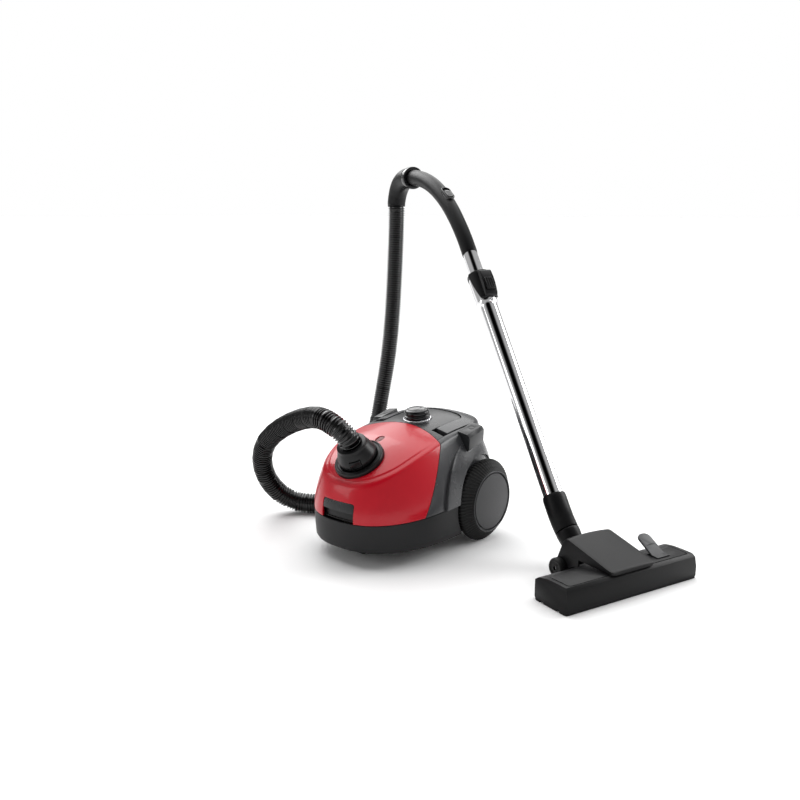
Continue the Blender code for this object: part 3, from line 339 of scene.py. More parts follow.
def box_mesh(low, high, bevel=0.0):
    """Box between two corners, its edges rounded by a bevel."""
    bm = bmesh.new()
    bmesh.ops.create_cube(bm, size=1.0)
    low, high = Vector(low), Vector(high)
    for vert in bm.verts:
        vert.co = Vector([low[i] if vert.co[i] < 0 else high[i] for i in range(3)])
    if bevel:
        bmesh.ops.bevel(bm, geom=bm.edges[:], offset=bevel, segments=2, profile=0.5, affect="EDGES")
    return bm


def slotted(bm, count, first, step, half, low, high, bevel=0.0):
    """Cut a row of equal slots, spaced along X; low and high give their Y and Z."""
    for i in range(count):
        x = first + step * i
        bm = cut(bm, box_mesh((x - half, *low), (x + half, *high), bevel))
    return bm


def ring_mesh(rings, closed_tube=False):
    """Skin over rings of equal count, capped at both ends or closed into a loop."""
    bm = bmesh.new()
    made = [[bm.verts.new(p) for p in ring] for ring in rings]
    count = len(made[0])
    pairs = list(zip(made, made[1:]))
    if closed_tube:
        pairs.append((made[-1], made[0]))
    for one, two in pairs:
        for i in range(count):
            j = (i + 1) % count
            bm.faces.new((one[i], one[j], two[j], two[i]))
    if not closed_tube:
        bm.faces.new(list(reversed(made[0])))
        bm.faces.new(made[-1])
    return bm


def circle(radius, z, sides=ROUND):
    turns = [math.tau * i / sides for i in range(sides)]
    return [Vector((radius * math.cos(turn), radius * math.sin(turn), z)) for turn in turns]


def turned(profile, sides=ROUND):
    """Solid of revolution about local Z; corners given as (radius, height, round) get rounded."""
    points = rounded(profile)
    if profile[0][0] > 0:
        return ring_mesh([circle(r, z, sides) for r, z in points], closed_tube=True)
    return ring_mesh([circle(r, z, sides) for r, z in points if r > 0])


def rounded(profile, steps=3):
    """Replace each corner that carries a radius with a short curve."""
    points = []
    count = len(profile)
    for i, corner in enumerate(profile):
        here = Vector(corner[:2])
        size = corner[2] if len(corner) > 2 else 0.0
        if not size:
            points.append(here)
            continue
        before = Vector(profile[i - 1][:2])
        after = Vector(profile[(i + 1) % count][:2])
        start = here + (before - here).normalized() * size
        end = here + (after - here).normalized() * size
        for k in range(steps + 1):
            t = k / steps
            points.append(start * (1 - t) ** 2 + here * 2 * t * (1 - t) + end * t * t)
    return points


def prism(outline, low, high):
    """Upright solid over a plan, between two heights."""
    return ring_mesh([[Vector((x, y, z)) for x, y in outline] for z in (low, high)])


def side_profile(points, low, high):
    """Prism along X from a side view outline of (y, z) points, corners rounded where given."""
    outline = rounded(points, 4)
    return ring_mesh([[Vector((x, p.x, p.y)) for p in outline] for x in (low, high)])


def move(bm, matrix):
    bm.transform(matrix)
    return bm


def along_x(place):
    """Local Z of a turned piece laid along +X at a place."""
    return Matrix.Translation(place) @ Matrix.Rotation(math.pi / 2, 4, "Y")


def smooth_route(points, per_span=4):
    """Points on a Catmull-Rom curve through the route's own points."""
    pts = [Vector(p) for p in points]
    pts = [pts[0] * 2 - pts[1]] + pts + [pts[-1] * 2 - pts[-2]]
    out = []
    for i in range(1, len(pts) - 2):
        p0, p1, p2, p3 = pts[i - 1:i + 3]
        for k in range(per_span):
            t = k / per_span
            out.append(0.5 * (2 * p1 + (p2 - p0) * t + (2 * p0 - 5 * p1 + 4 * p2 - p3) * t * t
                              + (3 * p1 - p0 - 3 * p2 + p3) * t ** 3))
    out.append(pts[-2])
    return out


def evenly(points, step):
    """Points a fixed distance apart along a polyline, its end included."""
    out = []
    walked, target = 0.0, 0.0
    for one, two in zip(points, points[1:]):
        span = (two - one).length
        while target <= walked + span:
            out.append(one.lerp(two, (target - walked) / span))
            target += step
        walked += span
    if (out[-1] - points[-1]).length > step * 0.3:
        out.append(points[-1].copy())
    return out


def frames_along(points, start_side):
    """A direction across the path at each point, carried along without twisting."""
    across = Vector(start_side)
    made = []
    for i, point in enumerate(points):
        ahead = (points[min(i + 1, len(points) - 1)] - points[max(i - 1, 0)]).normalized()
        across = (across - ahead * across.dot(ahead)).normalized()
        made.append((point, across, ahead.cross(across)))
    return made


def tube_rings(points, radii, sides, start_side=(1, 0, 0), flatten=None):
    """Round or oval rings across a path, one at each of its points."""
    rings = []
    for i, (point, across, up) in enumerate(frames_along(points, start_side)):
        wide, tall = (radii[i], radii[i]) if flatten is None else flatten(i, radii[i])
        turns = [math.tau * k / sides for k in range(sides)]
        rings.append([point + across * wide * math.cos(turn) + up * tall * math.sin(turn)
                      for turn in turns])
    return rings


# ---------------------------------------------------------------- canister surface
def top_height(x, y):
    """Height of the canister's top: a smooth curve through TOP_PROFILE, falling to both sides."""
    pts = TOP_PROFILE
    k = next((i for i in range(len(pts) - 1) if y < pts[i + 1][0]), len(pts) - 2)
    (y0, z0), (y1, z1) = pts[k], pts[k + 1]

    def slope(i):
        low, high = max(i - 1, 0), min(i + 1, len(pts) - 1)
        return (pts[high][1] - pts[low][1]) / (pts[high][0] - pts[low][0])

    span = y1 - y0
    t = min(max((y - y0) / span, 0.0), 1.0)
    middle = (z0 * (1 + 2 * t) * (1 - t) ** 2 + slope(k) * span * t * (1 - t) ** 2
              + z1 * t * t * (3 - 2 * t) + slope(k + 1) * span * t * t * (t - 1))
    return middle - TOP_CROWN * (x / CROWN_HALF) ** 2


def wall_point(angle, z):
    """Point of the canister's side wall at an angle round its plan and at a height."""
    c, s = math.cos(angle), math.sin(angle)
    power = FRONT_POWER if s < 0 else REAR_POWER
    reach = (abs(c) ** power + abs(s) ** power) ** (-1 / power)
    inward = SHOULDER_LEAN * (1 - REAR_UPRIGHT * max(0.0, s) ** 2)
    lean = 1 - inward * max(0.0, z - SHOULDER_START) ** 1.5
    tuck = 1 - TUCK * max(0.0, (SHOULDER_START - z) / TUCK_HEIGHT) ** 2
    return Vector((BODY_HALF_WIDTH * reach * c * lean * tuck,
                   BODY_MIDDLE + BODY_HALF_LENGTH * reach * s * lean * tuck, z))


def crease_height(angle):
    """Height at which the wall meets the top, found by halving."""
    low, high = 0.09, 0.235
    for _ in range(30):
        middle = (low + high) / 2
        p = wall_point(angle, middle)
        if top_height(p.x, p.y) > middle:
            low = middle
        else:
            high = middle
    return low


def smoothstep(low, high, value):
    """0 below low, 1 above high and a soft step between them."""
    t = min(max((value - low) / (high - low), 0.0), 1.0)
    return t * t * (3 - 2 * t)


def fender_push(p):
    """Move a point of the side wall out to the arch over a rear wheel, which fades out near the crease."""
    outward = Vector((p.x, p.y - BODY_MIDDLE, 0.0)).normalized()
    return p + outward * (FENDER_SKIN + FENDER_PROUD * (1 - smoothstep(0.140, 0.184, p.z)))


def rim_raise(p, distance):
    """The lid's top face stands a little above its edge band, fading out towards the rear."""
    step = smoothstep(RIM_INSET - RIM_HALF, RIM_INSET + RIM_HALF, distance)
    return RIM_STEP * step * (1 - smoothstep(-0.150, -0.105, p.y))


def shrunk(p, amount):
    """A point drawn in towards the plan's middle, at its own height."""
    return Vector((p.x * amount, BODY_MIDDLE + (p.y - BODY_MIDDLE) * amount, p.z))


def wall_rings(angles, inset):
    """Rings from the edge of the bottom up the walls to where the crease's rounding starts."""
    start = BODY_BOTTOM + 0.006
    shrink = 1 - inset / BODY_HALF_WIDTH
    heights = [crease_height(a) for a in angles]
    rings = []
    for reach, z in ((0.86, BODY_BOTTOM), (0.945, BODY_BOTTOM), (0.985, BODY_BOTTOM + 0.0018)):
        ring = [shrunk(wall_point(a, start), reach * shrink) for a in angles]
        rings.append([Vector((p.x, p.y, z + inset)) for p in ring])
    for k in range(WALL_STEPS + 1):
        ring = []
        for a, h in zip(angles, heights):
            t = k / WALL_STEPS
            p = shrunk(wall_point(a, start + (h - CREASE_ROUND - start) * t), shrink)
            ring.append(p - Vector((0, 0, inset * t)))
        rings.append(ring)
    return rings


def top_rings(angles, inset, detailed, wall_top):
    """Rings from the crease's rounding over the top to its narrow spine."""
    shrink = 1 - inset / BODY_HALF_WIDTH
    creases = [wall_point(a, crease_height(a)) for a in angles]

    def top_point(crease, distance=None, share=0.0):
        spine = Vector((0.0, BODY_MIDDLE + (crease.y - BODY_MIDDLE) * SPINE_SHARE, 0.0))
        flat = Vector((crease.x, crease.y, 0.0))
        reach = (spine - flat).length
        travel = distance if distance is not None else max(share * reach, RIM_INSET + 0.003)
        q = flat.lerp(spine, travel / reach)
        lift = rim_raise(q, travel) if detailed else 0.0
        return Vector((q.x, q.y, top_height(q.x, q.y) - inset + lift))

    rings = []
    for t in (0.25, 0.5, 0.75, 1.0):
        ring = []
        for crease, low in zip(creases, wall_top):
            corner = shrunk(crease, shrink) - Vector((0, 0, inset))
            inner = top_point(crease, distance=CREASE_ROUND)
            ring.append(low * (1 - t) ** 2 + corner * 2 * t * (1 - t) + inner * t * t)
        rings.append(ring)
    rings += [[top_point(c, distance=distance) for c in creases] for distance in RIM_RINGS]
    rings += [[top_point(c, share=share) for c in creases] for share in TOP_RINGS]
    return rings


def body_mesh(inset=0.0, around=160, detailed=True, place_point=None):
    """Closed surface of the whole canister body, or of the hollow an inset inside it."""
    angles = [math.tau * (i + 0.5) / around for i in range(around)]
    rings = wall_rings(angles, inset)
    rings += top_rings(angles, inset, detailed, rings[-1])
    if place_point:
        rings = [[place_point(p) for p in ring] for ring in rings]
    return close_spine(ring_mesh(rings), around)


def close_spine(bm, around):
    """Replace the cap over the narrow last ring with strips from side to side."""
    bm.faces.ensure_lookup_table()
    bm.faces.remove(bm.faces[-1])
    bm.verts.ensure_lookup_table()
    last = bm.verts[-around:]
    for i in range(-around // 4, around // 4 - 1):
        across = around // 2 - 1 - i
        bm.faces.new((last[i % around], last[(i + 1) % around], last[(across - 1) % around],
                      last[across % around]))
    return bm


def block_between(side, margin):
    """Solid on one side of the lid's rear seam: side -1 in front of it, +1 behind it."""
    rings = []
    for i in range(61):
        x = -0.18 + 0.006 * i
        bulge = LID_SEAM_BULGE * (1 - min(abs(x) / BODY_HALF_WIDTH, 1.0) ** 2)
        near = [LID_SEAM_FOOT.y + bulge + LID_SEAM_SLOPE * (z - LID_SEAM_FOOT.z) + side * margin
                for z in (-0.05, 0.30)]
        rings.append([Vector((x, near[0], -0.05)), Vector((x, near[1], 0.30)),
                      Vector((x, side * 0.4, 0.30)), Vector((x, side * 0.4, -0.05))])
    return ring_mesh(rings)


def block_beside_tub(side, margin):
    """Solid on one side of the tub's upper seam: side -1 below it, +1 above it."""
    edge = [TUB_SEAM_Z + TUB_SEAM_SLOPE * y + side * margin for y in (-0.4, 0.4)]
    corners = [(-0.4, edge[0]), (0.4, edge[1]), (0.4, side * 0.5), (-0.4, side * 0.5)]
    return ring_mesh([[Vector((x, BODY_MIDDLE + y, z)) for y, z in corners] for x in (-0.2, 0.2)])


def lowered_body(depth):
    """Everything deeper than a depth under the canister's top, spread past its side walls."""
    middle = Vector((0, BODY_MIDDLE, 0))
    spread = Matrix.Diagonal((1.06, 1.06, 1.0, 1.0))
    return move(body_mesh(detailed=False), Matrix.Translation(middle - Vector((0, 0, depth))) @ spread
                @ Matrix.Translation(-middle))


def well_cylinder(radius, deep, side):
    """Cylinder that cuts a wheel well, from a depth outward."""
    turn = math.pi / 2 if side > 0 else -math.pi / 2
    place = Matrix.Translation((side * deep, 0, WHEEL_Z)) @ Matrix.Rotation(turn, 4, "Y")
    return move(turned(((0, 0), (radius, 0), (radius, 0.08), (0, 0.08)), 96), place)


def hollow_mesh():
    """Air inside the housings, around the two cups of the wheel wells."""
    hollow = body_mesh(WALL, around=96, detailed=False)
    for side in (1, -1):
        hollow = cut(hollow, well_cylinder(WELL_RADIUS + WALL, WELL_DEEP - WALL, side))
    return hollow


def housing(blocks, hollow):
    """A thin-walled share of the canister body lying inside every block."""
    shell = body_mesh()
    for block in blocks:
        shell = keep(shell, block)
    for side in (1, -1):
        shell = cut(shell, well_cylinder(WELL_RADIUS, WELL_DEEP, side))
    return cut(shell, hollow.copy())


# ---------------------------------------------------------------- camera, light and floor
def make_camera():
    """Three-quarter view from the front left, looking slightly down."""
    data = bpy.data.cameras.new("camera")
    data.lens = LENS
    data.sensor_width = SENSOR
    camera = linked("camera", data)
    camera.location = CANISTER @ CAMERA_AT
    camera.rotation_euler = (math.pi / 2 - CAMERA_DOWN, 0.0, CAMERA_TURN)
    bpy.context.scene.camera = camera


def add_light(name, place, target, size, energy):
    """Square soft box at a place, aimed at a target."""
    data = bpy.data.lights.new(name, "AREA")
    data.energy = energy
    data.size = size
    light = linked(name, data)
    light.location = place
    light.rotation_euler = (Vector(target) - Vector(place)).to_track_quat("-Z", "Y").to_euler()


def make_world():
    """White surroundings with one dark patch above the front; the camera itself sees plain white."""
    world = bpy.data.worlds.new("studio")
    bpy.context.scene.world = world
    world.use_nodes = True
    tree = world.node_tree
    lit = tree.nodes["Background"]
    lit.inputs["Color"].default_value = (1.0, 1.0, 1.0, 1.0)
    toward = node(tree, "ShaderNodeTexCoord").outputs["Generated"]
    facing = node(tree, "ShaderNodeVectorMath", operation="DOT_PRODUCT")
    tree.links.new(toward, facing.inputs[0])
    facing.inputs[1].default_value = Vector(DARK_TOWARD).normalized()
    shade = node(tree, "ShaderNodeMapRange", interpolation_type="SMOOTHSTEP")
    shade.inputs["From Min"].default_value = DARK_EDGE
    shade.inputs["From Max"].default_value = DARK_CORE
    shade.inputs["To Min"].default_value = SURROUND
    shade.inputs["To Max"].default_value = 0.0
    tree.links.new(facing.outputs["Value"], shade.inputs["Value"])
    tree.links.new(shade.outputs["Result"], lit.inputs["Strength"])
    seen = tree.nodes.new("ShaderNodeBackground")
    seen.inputs["Color"].default_value = (1.0, 1.0, 1.0, 1.0)
    seen.inputs["Strength"].default_value = BACKDROP
    pick = tree.nodes.new("ShaderNodeMixShader")
    tree.links.new(tree.nodes.new("ShaderNodeLightPath").outputs["Is Camera Ray"], pick.inputs["Fac"])
    tree.links.new(lit.outputs["Background"], pick.inputs[1])
    tree.links.new(seen.outputs["Background"], pick.inputs[2])
    tree.links.new(pick.outputs["Shader"], tree.nodes["World Output"].inputs["Surface"])


def make_light():
    """Three soft boxes and a broad soft sun."""
    add_light("left_box", (-1.5, 0.35, 1.5), (0, 0, 0.15), 1.1, 12)
    add_light("back_box", (0.85, 1.15, 0.95), (0.1, 0, 0.2), 0.9, 16)
    add_light("front_box", (-1.2, -1.7, 0.8), (0, 0, 0.1), 0.8, 5)
    sky = bpy.data.lights.new("sky", "SUN")
    sky.energy = SKY
    sky.angle = math.radians(75)
    sky_lamp = linked("sky", sky)
    sky_lamp.rotation_euler = Vector((-0.45, 0.35, 0.85)).to_track_quat("Z", "Y").to_euler()
    bpy.context.scene.view_settings.view_transform = "Standard"


def make_floor():
    """Plain white floor, wide enough to meet the white background."""
    bm = bmesh.new()
    bmesh.ops.create_grid(bm, x_segments=2, y_segments=2, size=60.0)
    mesh = bpy.data.meshes.new("floor")
    bm.to_mesh(mesh)
    bm.free()
    floor = linked("floor", mesh)
    made = surface("pale_floor", (0.97, 0.97, 0.97), 0.7, mottle=0.005, specular=0.1)
    mesh.materials.append(made)


# ---------------------------------------------------------------- hose
def hose_piece(name, points, start_side):
    """Corrugated tube: a rounded rib and a narrow groove every HOSE_PITCH."""
    per_rib = 20
    spine = evenly(points, HOSE_PITCH / per_rib)
    centres, radii = [], []
    for rib in range(0, len(spine) - per_rib, per_rib):
        for share, height in HOSE_RIB:
            centres.append(spine[rib + round(share * per_rib)])
            radii.append(HOSE_GROOVE + (HOSE_RADIUS - HOSE_GROOVE) * height)
    centres.append(spine[-1])
    radii.append(HOSE_GROOVE)
    bm = ring_mesh(tube_rings(centres, radii, 40, start_side))
    piece = add_piece(name, bm, "hose", CANISTER, None, smooth=50)
    length = sum((b - a).length for a, b in zip(points, points[1:]))
    return piece, length


def make_hose():
    """Two runs that meet behind the canister, since their far ends belong to different bodies."""
    points = smooth_route(HOSE_ROUTE, 2)
    half = len(points) // 2
    middle = (points[half] + points[half + 1]) / 2
    ahead = (points[half + 1] - points[half]).normalized() * 0.0004
    inlet = CANISTER @ points[0]
    cuff = CANISTER @ points[-1]
    joint = CANISTER @ middle
    front_points = points[:half + 1] + [middle - ahead]
    rear_points = [middle + ahead] + points[half + 1:]
    front, front_length = hose_piece("hose_front_run", front_points, (1, 0, 0))
    rear, rear_length = hose_piece("hose_rear_run", rear_points, (0, 0, 1))
    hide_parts("hose_front")
    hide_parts("hose_rear")
    return front, rear, inlet, joint, cuff


def bend_hose(front, rear, inlet, joint, cuff):
    """Bake the placement of both runs into their meshes, leaving their shape as it is."""
    tuple(inlet)
    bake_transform(front)
    tuple(cuff)
    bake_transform(rear)


# ---------------------------------------------------------------- canister housings
def panel_outline(margin):
    """Plan of the control panel, rounded at its two rear corners, made smaller by a margin."""
    half, back, corner = PANEL_HALF - margin, PANEL_BACK - margin, PANEL_CORNER
    points = [(half, -0.16), (half, back - corner)]
    for i in range(1, 25):
        turn = math.pi / 2 * i / 24
        points.append((half - corner + corner * math.cos(turn), back - corner + corner * math.sin(turn)))
    return points + [(-x, y) for x, y in reversed(points)]


def bail_outline(outward, inward, front_margin):
    """Plan of the U-shaped handle, grown outward, inward and to the front."""
    def side(half, back, corner, front):
        points = [(half, front)]
        for i in range(21):
            turn = math.pi / 2 * i / 20
            points.append((half - corner + corner * math.cos(turn),
                           back - corner * 0.7 + corner * 0.7 * math.sin(turn)))
        return points

    front = BAIL_FRONT - front_margin
    outer = side(BAIL_OUT + outward, 0.064 + outward, 0.050 + outward, front)
    inner = side(BAIL_IN - inward, 0.027 - inward, 0.030 - inward, front)
    outer += [(-x, y) for x, y in reversed(outer)]
    inner += [(-x, y) for x, y in reversed(inner)]
    return outer + list(reversed(inner))


def pedal_frame(side):
    """Place of a foot pedal on the canister's shoulder."""
    return (Matrix.Translation((side * 0.099, -0.015, 0.190)) @ Matrix.Rotation(math.radians(12), 4, "X")
            @ Matrix.Rotation(side * math.radians(10), 4, "Y"))


def pedal_room(side):
    """Opening round and under a foot pedal."""
    half = PEDAL_SIZE / 2
    room = box_mesh(-half - Vector((0.001, 0.001, 0.0035)), half + Vector((0.001, 0.001, 0.02)))
    return move(room, pedal_frame(side))


def make_lid(hollow):
    """Red lid with its inlet hole, latch notch and bag-full window."""
    lid = housing([block_beside_tub(1, SEAM), block_between(-1, SEAM)], hollow)
    lid = cut(lid, move(turned(((0, -0.03), (0.0445, -0.03), (0.0445, 0.03), (0, 0.03)), 96), INLET))
    lid = cut(lid, latch_notch(0.0))
    marker = Matrix.Translation((0, INDICATOR_Y, top_height(0, INDICATOR_Y)))
    marker = marker @ Matrix.Rotation(math.radians(20), 4, "X")
    lid = cut(lid, move(pill(0.0072, 0.0100, -0.0040, 0.02), marker))
    add_piece("lid_shell", lid, "red", CANISTER, "lid", ["front_lid"], bevel=0.0005)
    window = move(pill(0.0066, 0.0094, -0.0016, -0.0002), marker)
    add_piece("indicator_window", window, "mark", CANISTER, "lid", ["bag_full_indicator"],
              bevel=0.0003)


def pill(radius, half_length, low, high):
    """Upright prism with a rounded oblong plan, long along Y."""
    points = []
    for end in (1, -1):
        for i in range(13):
            turn = math.pi * i / 12 + (0 if end > 0 else math.pi)
            points.append((radius * math.cos(turn), end * (half_length - radius) + radius * math.sin(turn)))
    return prism(points, low, high)


def latch_notch(margin):
    """Rounded opening in the lid's front for the latch; a margin makes the latch that fills it."""
    corners = ((-0.0354 + margin, 0.05), (0.0354 - margin, 0.05), (0.0354 - margin, 0.1090 - margin, 0.006),
               (-0.0354 + margin, 0.1090 - margin, 0.006))
    outline = rounded(corners, 6)
    return ring_mesh([[Vector((p.x, y, p.y)) for p in outline] for y in (-0.29, -0.235)])


def shell_slice(depth_out, depth_in, low, high, margin):
    """A curved plate following the front wall between two depths under its surface."""
    plate = keep(body_mesh(depth_out, around=160, detailed=False), latch_notch(margin))
    plate = keep(plate, box_mesh((-0.05, -0.3, low), (0.05, -0.2, high)))
    return cut(plate, body_mesh(depth_in, around=160, detailed=False))


def make_latch():
    """Latch plate flush with the lid's front, over a deeper finger pull."""
    add_piece("latch_plate", shell_slice(0.0004, 0.0040, 0.0925, 0.12, 0.0008), "panel", CANISTER, "latch",
              ["lid_latch"], bevel=0.0006)
    add_piece("latch_pull", shell_slice(0.0052, 0.0075, 0.0785, 0.0922, 0.0016), "black", CANISTER, "latch",
              bevel=0.0006)


def make_tub(hollow):
    """Lower tub with the boss in which the caster turns."""
    tub = housing([block_beside_tub(-1, SEAM)], hollow)
    boss = turned(((0, BODY_BOTTOM), (0.034, BODY_BOTTOM), (0.034, 0.047), (0, 0.047)))
    place = Matrix.Translation(CASTER)
    tub = join(tub, move(boss, place))
    tub = cut(tub, move(turned(((0, 0), (0.0285, 0), (0.0285, 0.036), (0, 0.036))), place))
    tub = cut(tub, move(turned(((0, 0.03), (0.0046, 0.03), (0.0046, 0.0445), (0, 0.0445))), place))
    add_piece("tub_shell", tub, "tub", CANISTER, "canister", ["chassis"], bevel=0.0006)


def make_rear(hollow):
    """Rear housing with the panel's seat, pedal openings and exhaust louvre."""
    rear = housing([block_beside_tub(1, SEAM), block_between(1, SEAM)], hollow)
    seat = prism(panel_outline(-SEAM), PANEL_FLOOR - SEAM, ABOVE_ALL)
    rear = cut(rear, cut(seat, lowered_body(PANEL_THICK + SEAM)))
    for side in (1, -1):
        rear = cut(rear, pedal_room(side))
    grille = Matrix.Translation((0, 0.0785, 0.125)) @ Matrix.Rotation(math.radians(7), 4, "X")
    rear = cut(rear, move(box_mesh((-0.0455, -0.02, -0.0225), (0.0455, 0.02, 0.0225)), grille))
    add_piece("rear_shell", rear, "shell", CANISTER, "canister", ["rear_housing"], bevel=0.0006)
    face = box_mesh((-0.0450, -0.0012, -0.0220), (0.0450, 0.0018, 0.0220), 0.0006)
    for i in range(11):
        z = -0.0170 + 0.0034 * i
        face = cut(face, box_mesh((-0.041, -0.01, z - 0.0010), (0.041, 0.01, z + 0.0010)))
    add_piece("exhaust_louvre", move(face, grille), "panel", CANISTER, "canister", ["exhaust_grille"],
              bevel=0.0003)


def make_fenders():
    """Arched plates standing out from the side walls round the rear wheels."""
    for name, side in (("left", 1), ("right", -1)):
        arch = turned(((0, 0), (FENDER_RADIUS, 0), (FENDER_RADIUS, 0.10), (0, 0.10)), 128)
        place = Matrix.Translation((side * 0.065, 0, WHEEL_Z - 0.004))
        place = place @ Matrix.Rotation(side * math.pi / 2, 4, "Y")
        plate = keep(body_mesh(detailed=False, place_point=fender_push), move(arch, place))
        plate = keep(plate, block_beside_tub(1, SEAM))
        plate = keep(plate, box_mesh((-0.2, -0.2, 0.05), (0.2, 0.060, 0.184)))
        plate = cut(plate, well_cylinder(WELL_RADIUS, 0.055, side))
        plate = cut(plate, body_mesh(0.0012, detailed=False))
        plate = cut(plate, pedal_room(side))
        add_piece("fender_" + name, plate, "shell", CANISTER, "canister", bevel=0.0007)


def make_panel():
    """Control panel with the channel, slots and knob hole, and the handle lying in it."""
    panel = keep(body_mesh(detailed=False), prism(panel_outline(0.0), PANEL_FLOOR, ABOVE_ALL))
    panel = keep(panel, block_between(1, SEAM))
    panel = cut(panel, lowered_body(PANEL_THICK))
    pocket = keep(lowered_body(WALL), box_mesh((-0.054, -0.12, 0.12), (0.054, 0.020, ABOVE_ALL)))
    panel = cut(panel, pocket)
    channel = prism(bail_outline(0.0060, 0.0022, 0.0040), 0.10, ABOVE_ALL)
    channel = cut(channel, lowered_body(BAIL_THICK + 0.0008))
    panel = cut(panel, channel)
    for side in (1, -1):
        middle = side * (BAIL_OUT + BAIL_IN) / 2
        slot = box_mesh((middle - BAIL_SLOT_HALF, BAIL_FRONT - BAIL_SWING_ROOM, 0.15),
                        (middle + BAIL_SLOT_HALF, BAIL_FRONT + 0.012, 0.25))
        panel = cut(panel, slot)
    hole = move(turned(((0, -0.03), (0.0268, -0.03), (0.0268, 0.03), (0, 0.03)), 96), KNOB)
    panel = cut(panel, hole)
    add_piece("control_panel", panel, "panel", CANISTER, "canister", ["top_panel"], bevel=0.0005)
    column = prism(bail_outline(0.0020, 0.0, 0.0), 0.10, ABOVE_ALL)
    bail = keep(body_mesh(-BAIL_PROUD, detailed=False), column)
    bail = cut(bail, lowered_body(BAIL_THICK))
    add_piece("bail_grip", bail, "shell", CANISTER, "carry_handle", ["carry_handle"], bevel=0.0016)


def make_pedals():
    """Two foot pedals, each with a plain ring on top."""
    for name, side in (("power", 1), ("rewind", -1)):
        half = PEDAL_SIZE / 2
        block = box_mesh(-half, half)
        outer_top = [e for e in block.edges if all(v.co.z > 0 and v.co.x * side > 0 for v in e.verts)]
        bmesh.ops.bevel(block, geom=outer_top, offset=0.0050, segments=1, profile=0.5, affect="EDGES")
        ring = move(turned(((0.0048, 0), (0.0060, 0), (0.0060, 0.0006), (0.0048, 0.0006)), 48),
                    Matrix.Translation((-side * 0.002, 0.004, half.z - 0.0003)))
        block = cut(block, ring)
        add_piece(name + "_key", block, "panel", CANISTER @ pedal_frame(side), name + "_pedal",
                  [name + "_pedal"], bevel=0.0012)


def make_knob():
    """Suction dial with a waist and a pointer groove, in a bright ring."""
    profile = ((0, -0.010), (0.0050, -0.010), (0.0050, 0.0006), (0.0225, 0.0006, 0.0005),
               (0.0237, 0.0030, 0.0008), (0.0237, 0.0062, 0.0010), (0.0212, 0.0074, 0.0008),
               (0.0212, 0.0092, 0.0006), (0.0228, 0.0102, 0.0008), (0.0228, 0.0138, 0.0020),
               (0.0190, 0.0176, 0.0020), (0.0165, 0.0178, 0.0008), (0.0150, 0.0168, 0.0010), (0, 0.0164))
    knob = turned(profile, 96)
    pointer = box_mesh((-0.0011, 0.0085, 0.0150), (0.0011, 0.0150, 0.0185), 0.0004)
    knob = cut(knob, pointer)
    add_piece("suction_dial", knob, "gloss", CANISTER @ KNOB, "suction_knob", ["suction_knob"])
    ring = turned(((0.0264, -0.006), (0.0264, 0.0006, 0.0005), (0.0256, 0.0016, 0.0004),
                   (0.0205, 0.0016, 0.0004), (0.0205, -0.006)), 96)
    add_piece("dial_ring", ring, "trim", CANISTER @ KNOB, "canister", ["knob_bezel"])


def make_inlet():
    """Inlet rim in the lid, and the hose connector that turns in it."""
    collar = turned(((0.0440, -0.012), (0.0440, 0.0012, 0.0012), (0.0415, 0.0040, 0.0012),
                     (0.0392, 0.0022, 0.0008), (0.0380, 0.0034, 0.0006), (0.0345, 0.0028, 0.0006),
                     (0.0345, -0.012)), 96)
    add_piece("inlet_rim", collar, "black", CANISTER @ INLET, "lid", ["inlet_collar"])
    cone = turned(((0.0305, -0.022), (0.0310, 0.0036), (0.0342, 0.0050, 0.0008), (0.0342, 0.0115, 0.0012),
                   (0.0335, 0.0140, 0.0010), (0.0285, 0.0270, 0.0020), (0.0268, 0.0300, 0.0010),
                   (0.0262, 0.0352, 0.0010), (0.0190, 0.0356, 0.0006), (0.0182, 0.0330), (0.0170, 0.0300),
                   (0.0170, -0.022)), 96)
    turn = Matrix.Rotation(BUTTON_TURN, 4, "Z")
    cone = cut(cone, move(box_mesh((-0.0100, -0.042, 0.0055), (0.0100, -0.0270, 0.0205)), turn))
    add_piece("connector_cone", cone, "black", CANISTER @ INLET, "connector", ["hose_connector"],
              bevel=0.0004)
    add_piece("release_pad", move(ribbed_pad(), turn), "black", CANISTER @ INLET, "release_button",
              ["release_button"], bevel=0.0003)


def ribbed_pad():
    """The connector's release button."""
    pad = box_mesh((-0.0090, -0.0335, 0.0062), (0.0090, -0.0300, 0.0198), 0.0008)
    return slotted(pad, 4, 0.0015, 0.0018, 0.0005, (-0.0345, 0.0085), (-0.0328, 0.0180))


# ---------------------------------------------------------------- wheels
def make_wheels():
    """Rear wheels: ribbed tyre, flat disc and the thin ring between them."""
    for name, side in (("left", 1), ("right", -1)):
        place = CANISTER @ Matrix.Translation((0, 0, WHEEL_Z)) @ Matrix.Rotation(side * math.pi / 2, 4, "Y")
        body = "wheel_" + name
        add_piece("tread_" + name, tyre_mesh(), "rubber", place, body, ["tyre_" + name],
                  smooth=50)
        rim = turned(((0, 0.1378), (0.0503, 0.1378, 0.0006), (0.0506, 0.1340), (0.0522, 0.1340),
                      (0.0526, 0.1376, 0.0004), (0.0540, 0.1366), (0.0540, 0.1298), (0.0594, 0.1125),
                      (0.0064, 0.1125), (0.0064, 0.1334), (0, 0.1334)), 128)
        add_piece("disc_" + name, rim, "wheel", place, body, [body])
        ring = turned(((0.0538, 0.1366), (0.0552, 0.1372), (0.0552, 0.1384, 0.0003),
                       (0.0538, 0.1386, 0.0003), (0.0532, 0.1372)), 128)
        add_piece("disc_ring_" + name, ring, "shell", place, body)


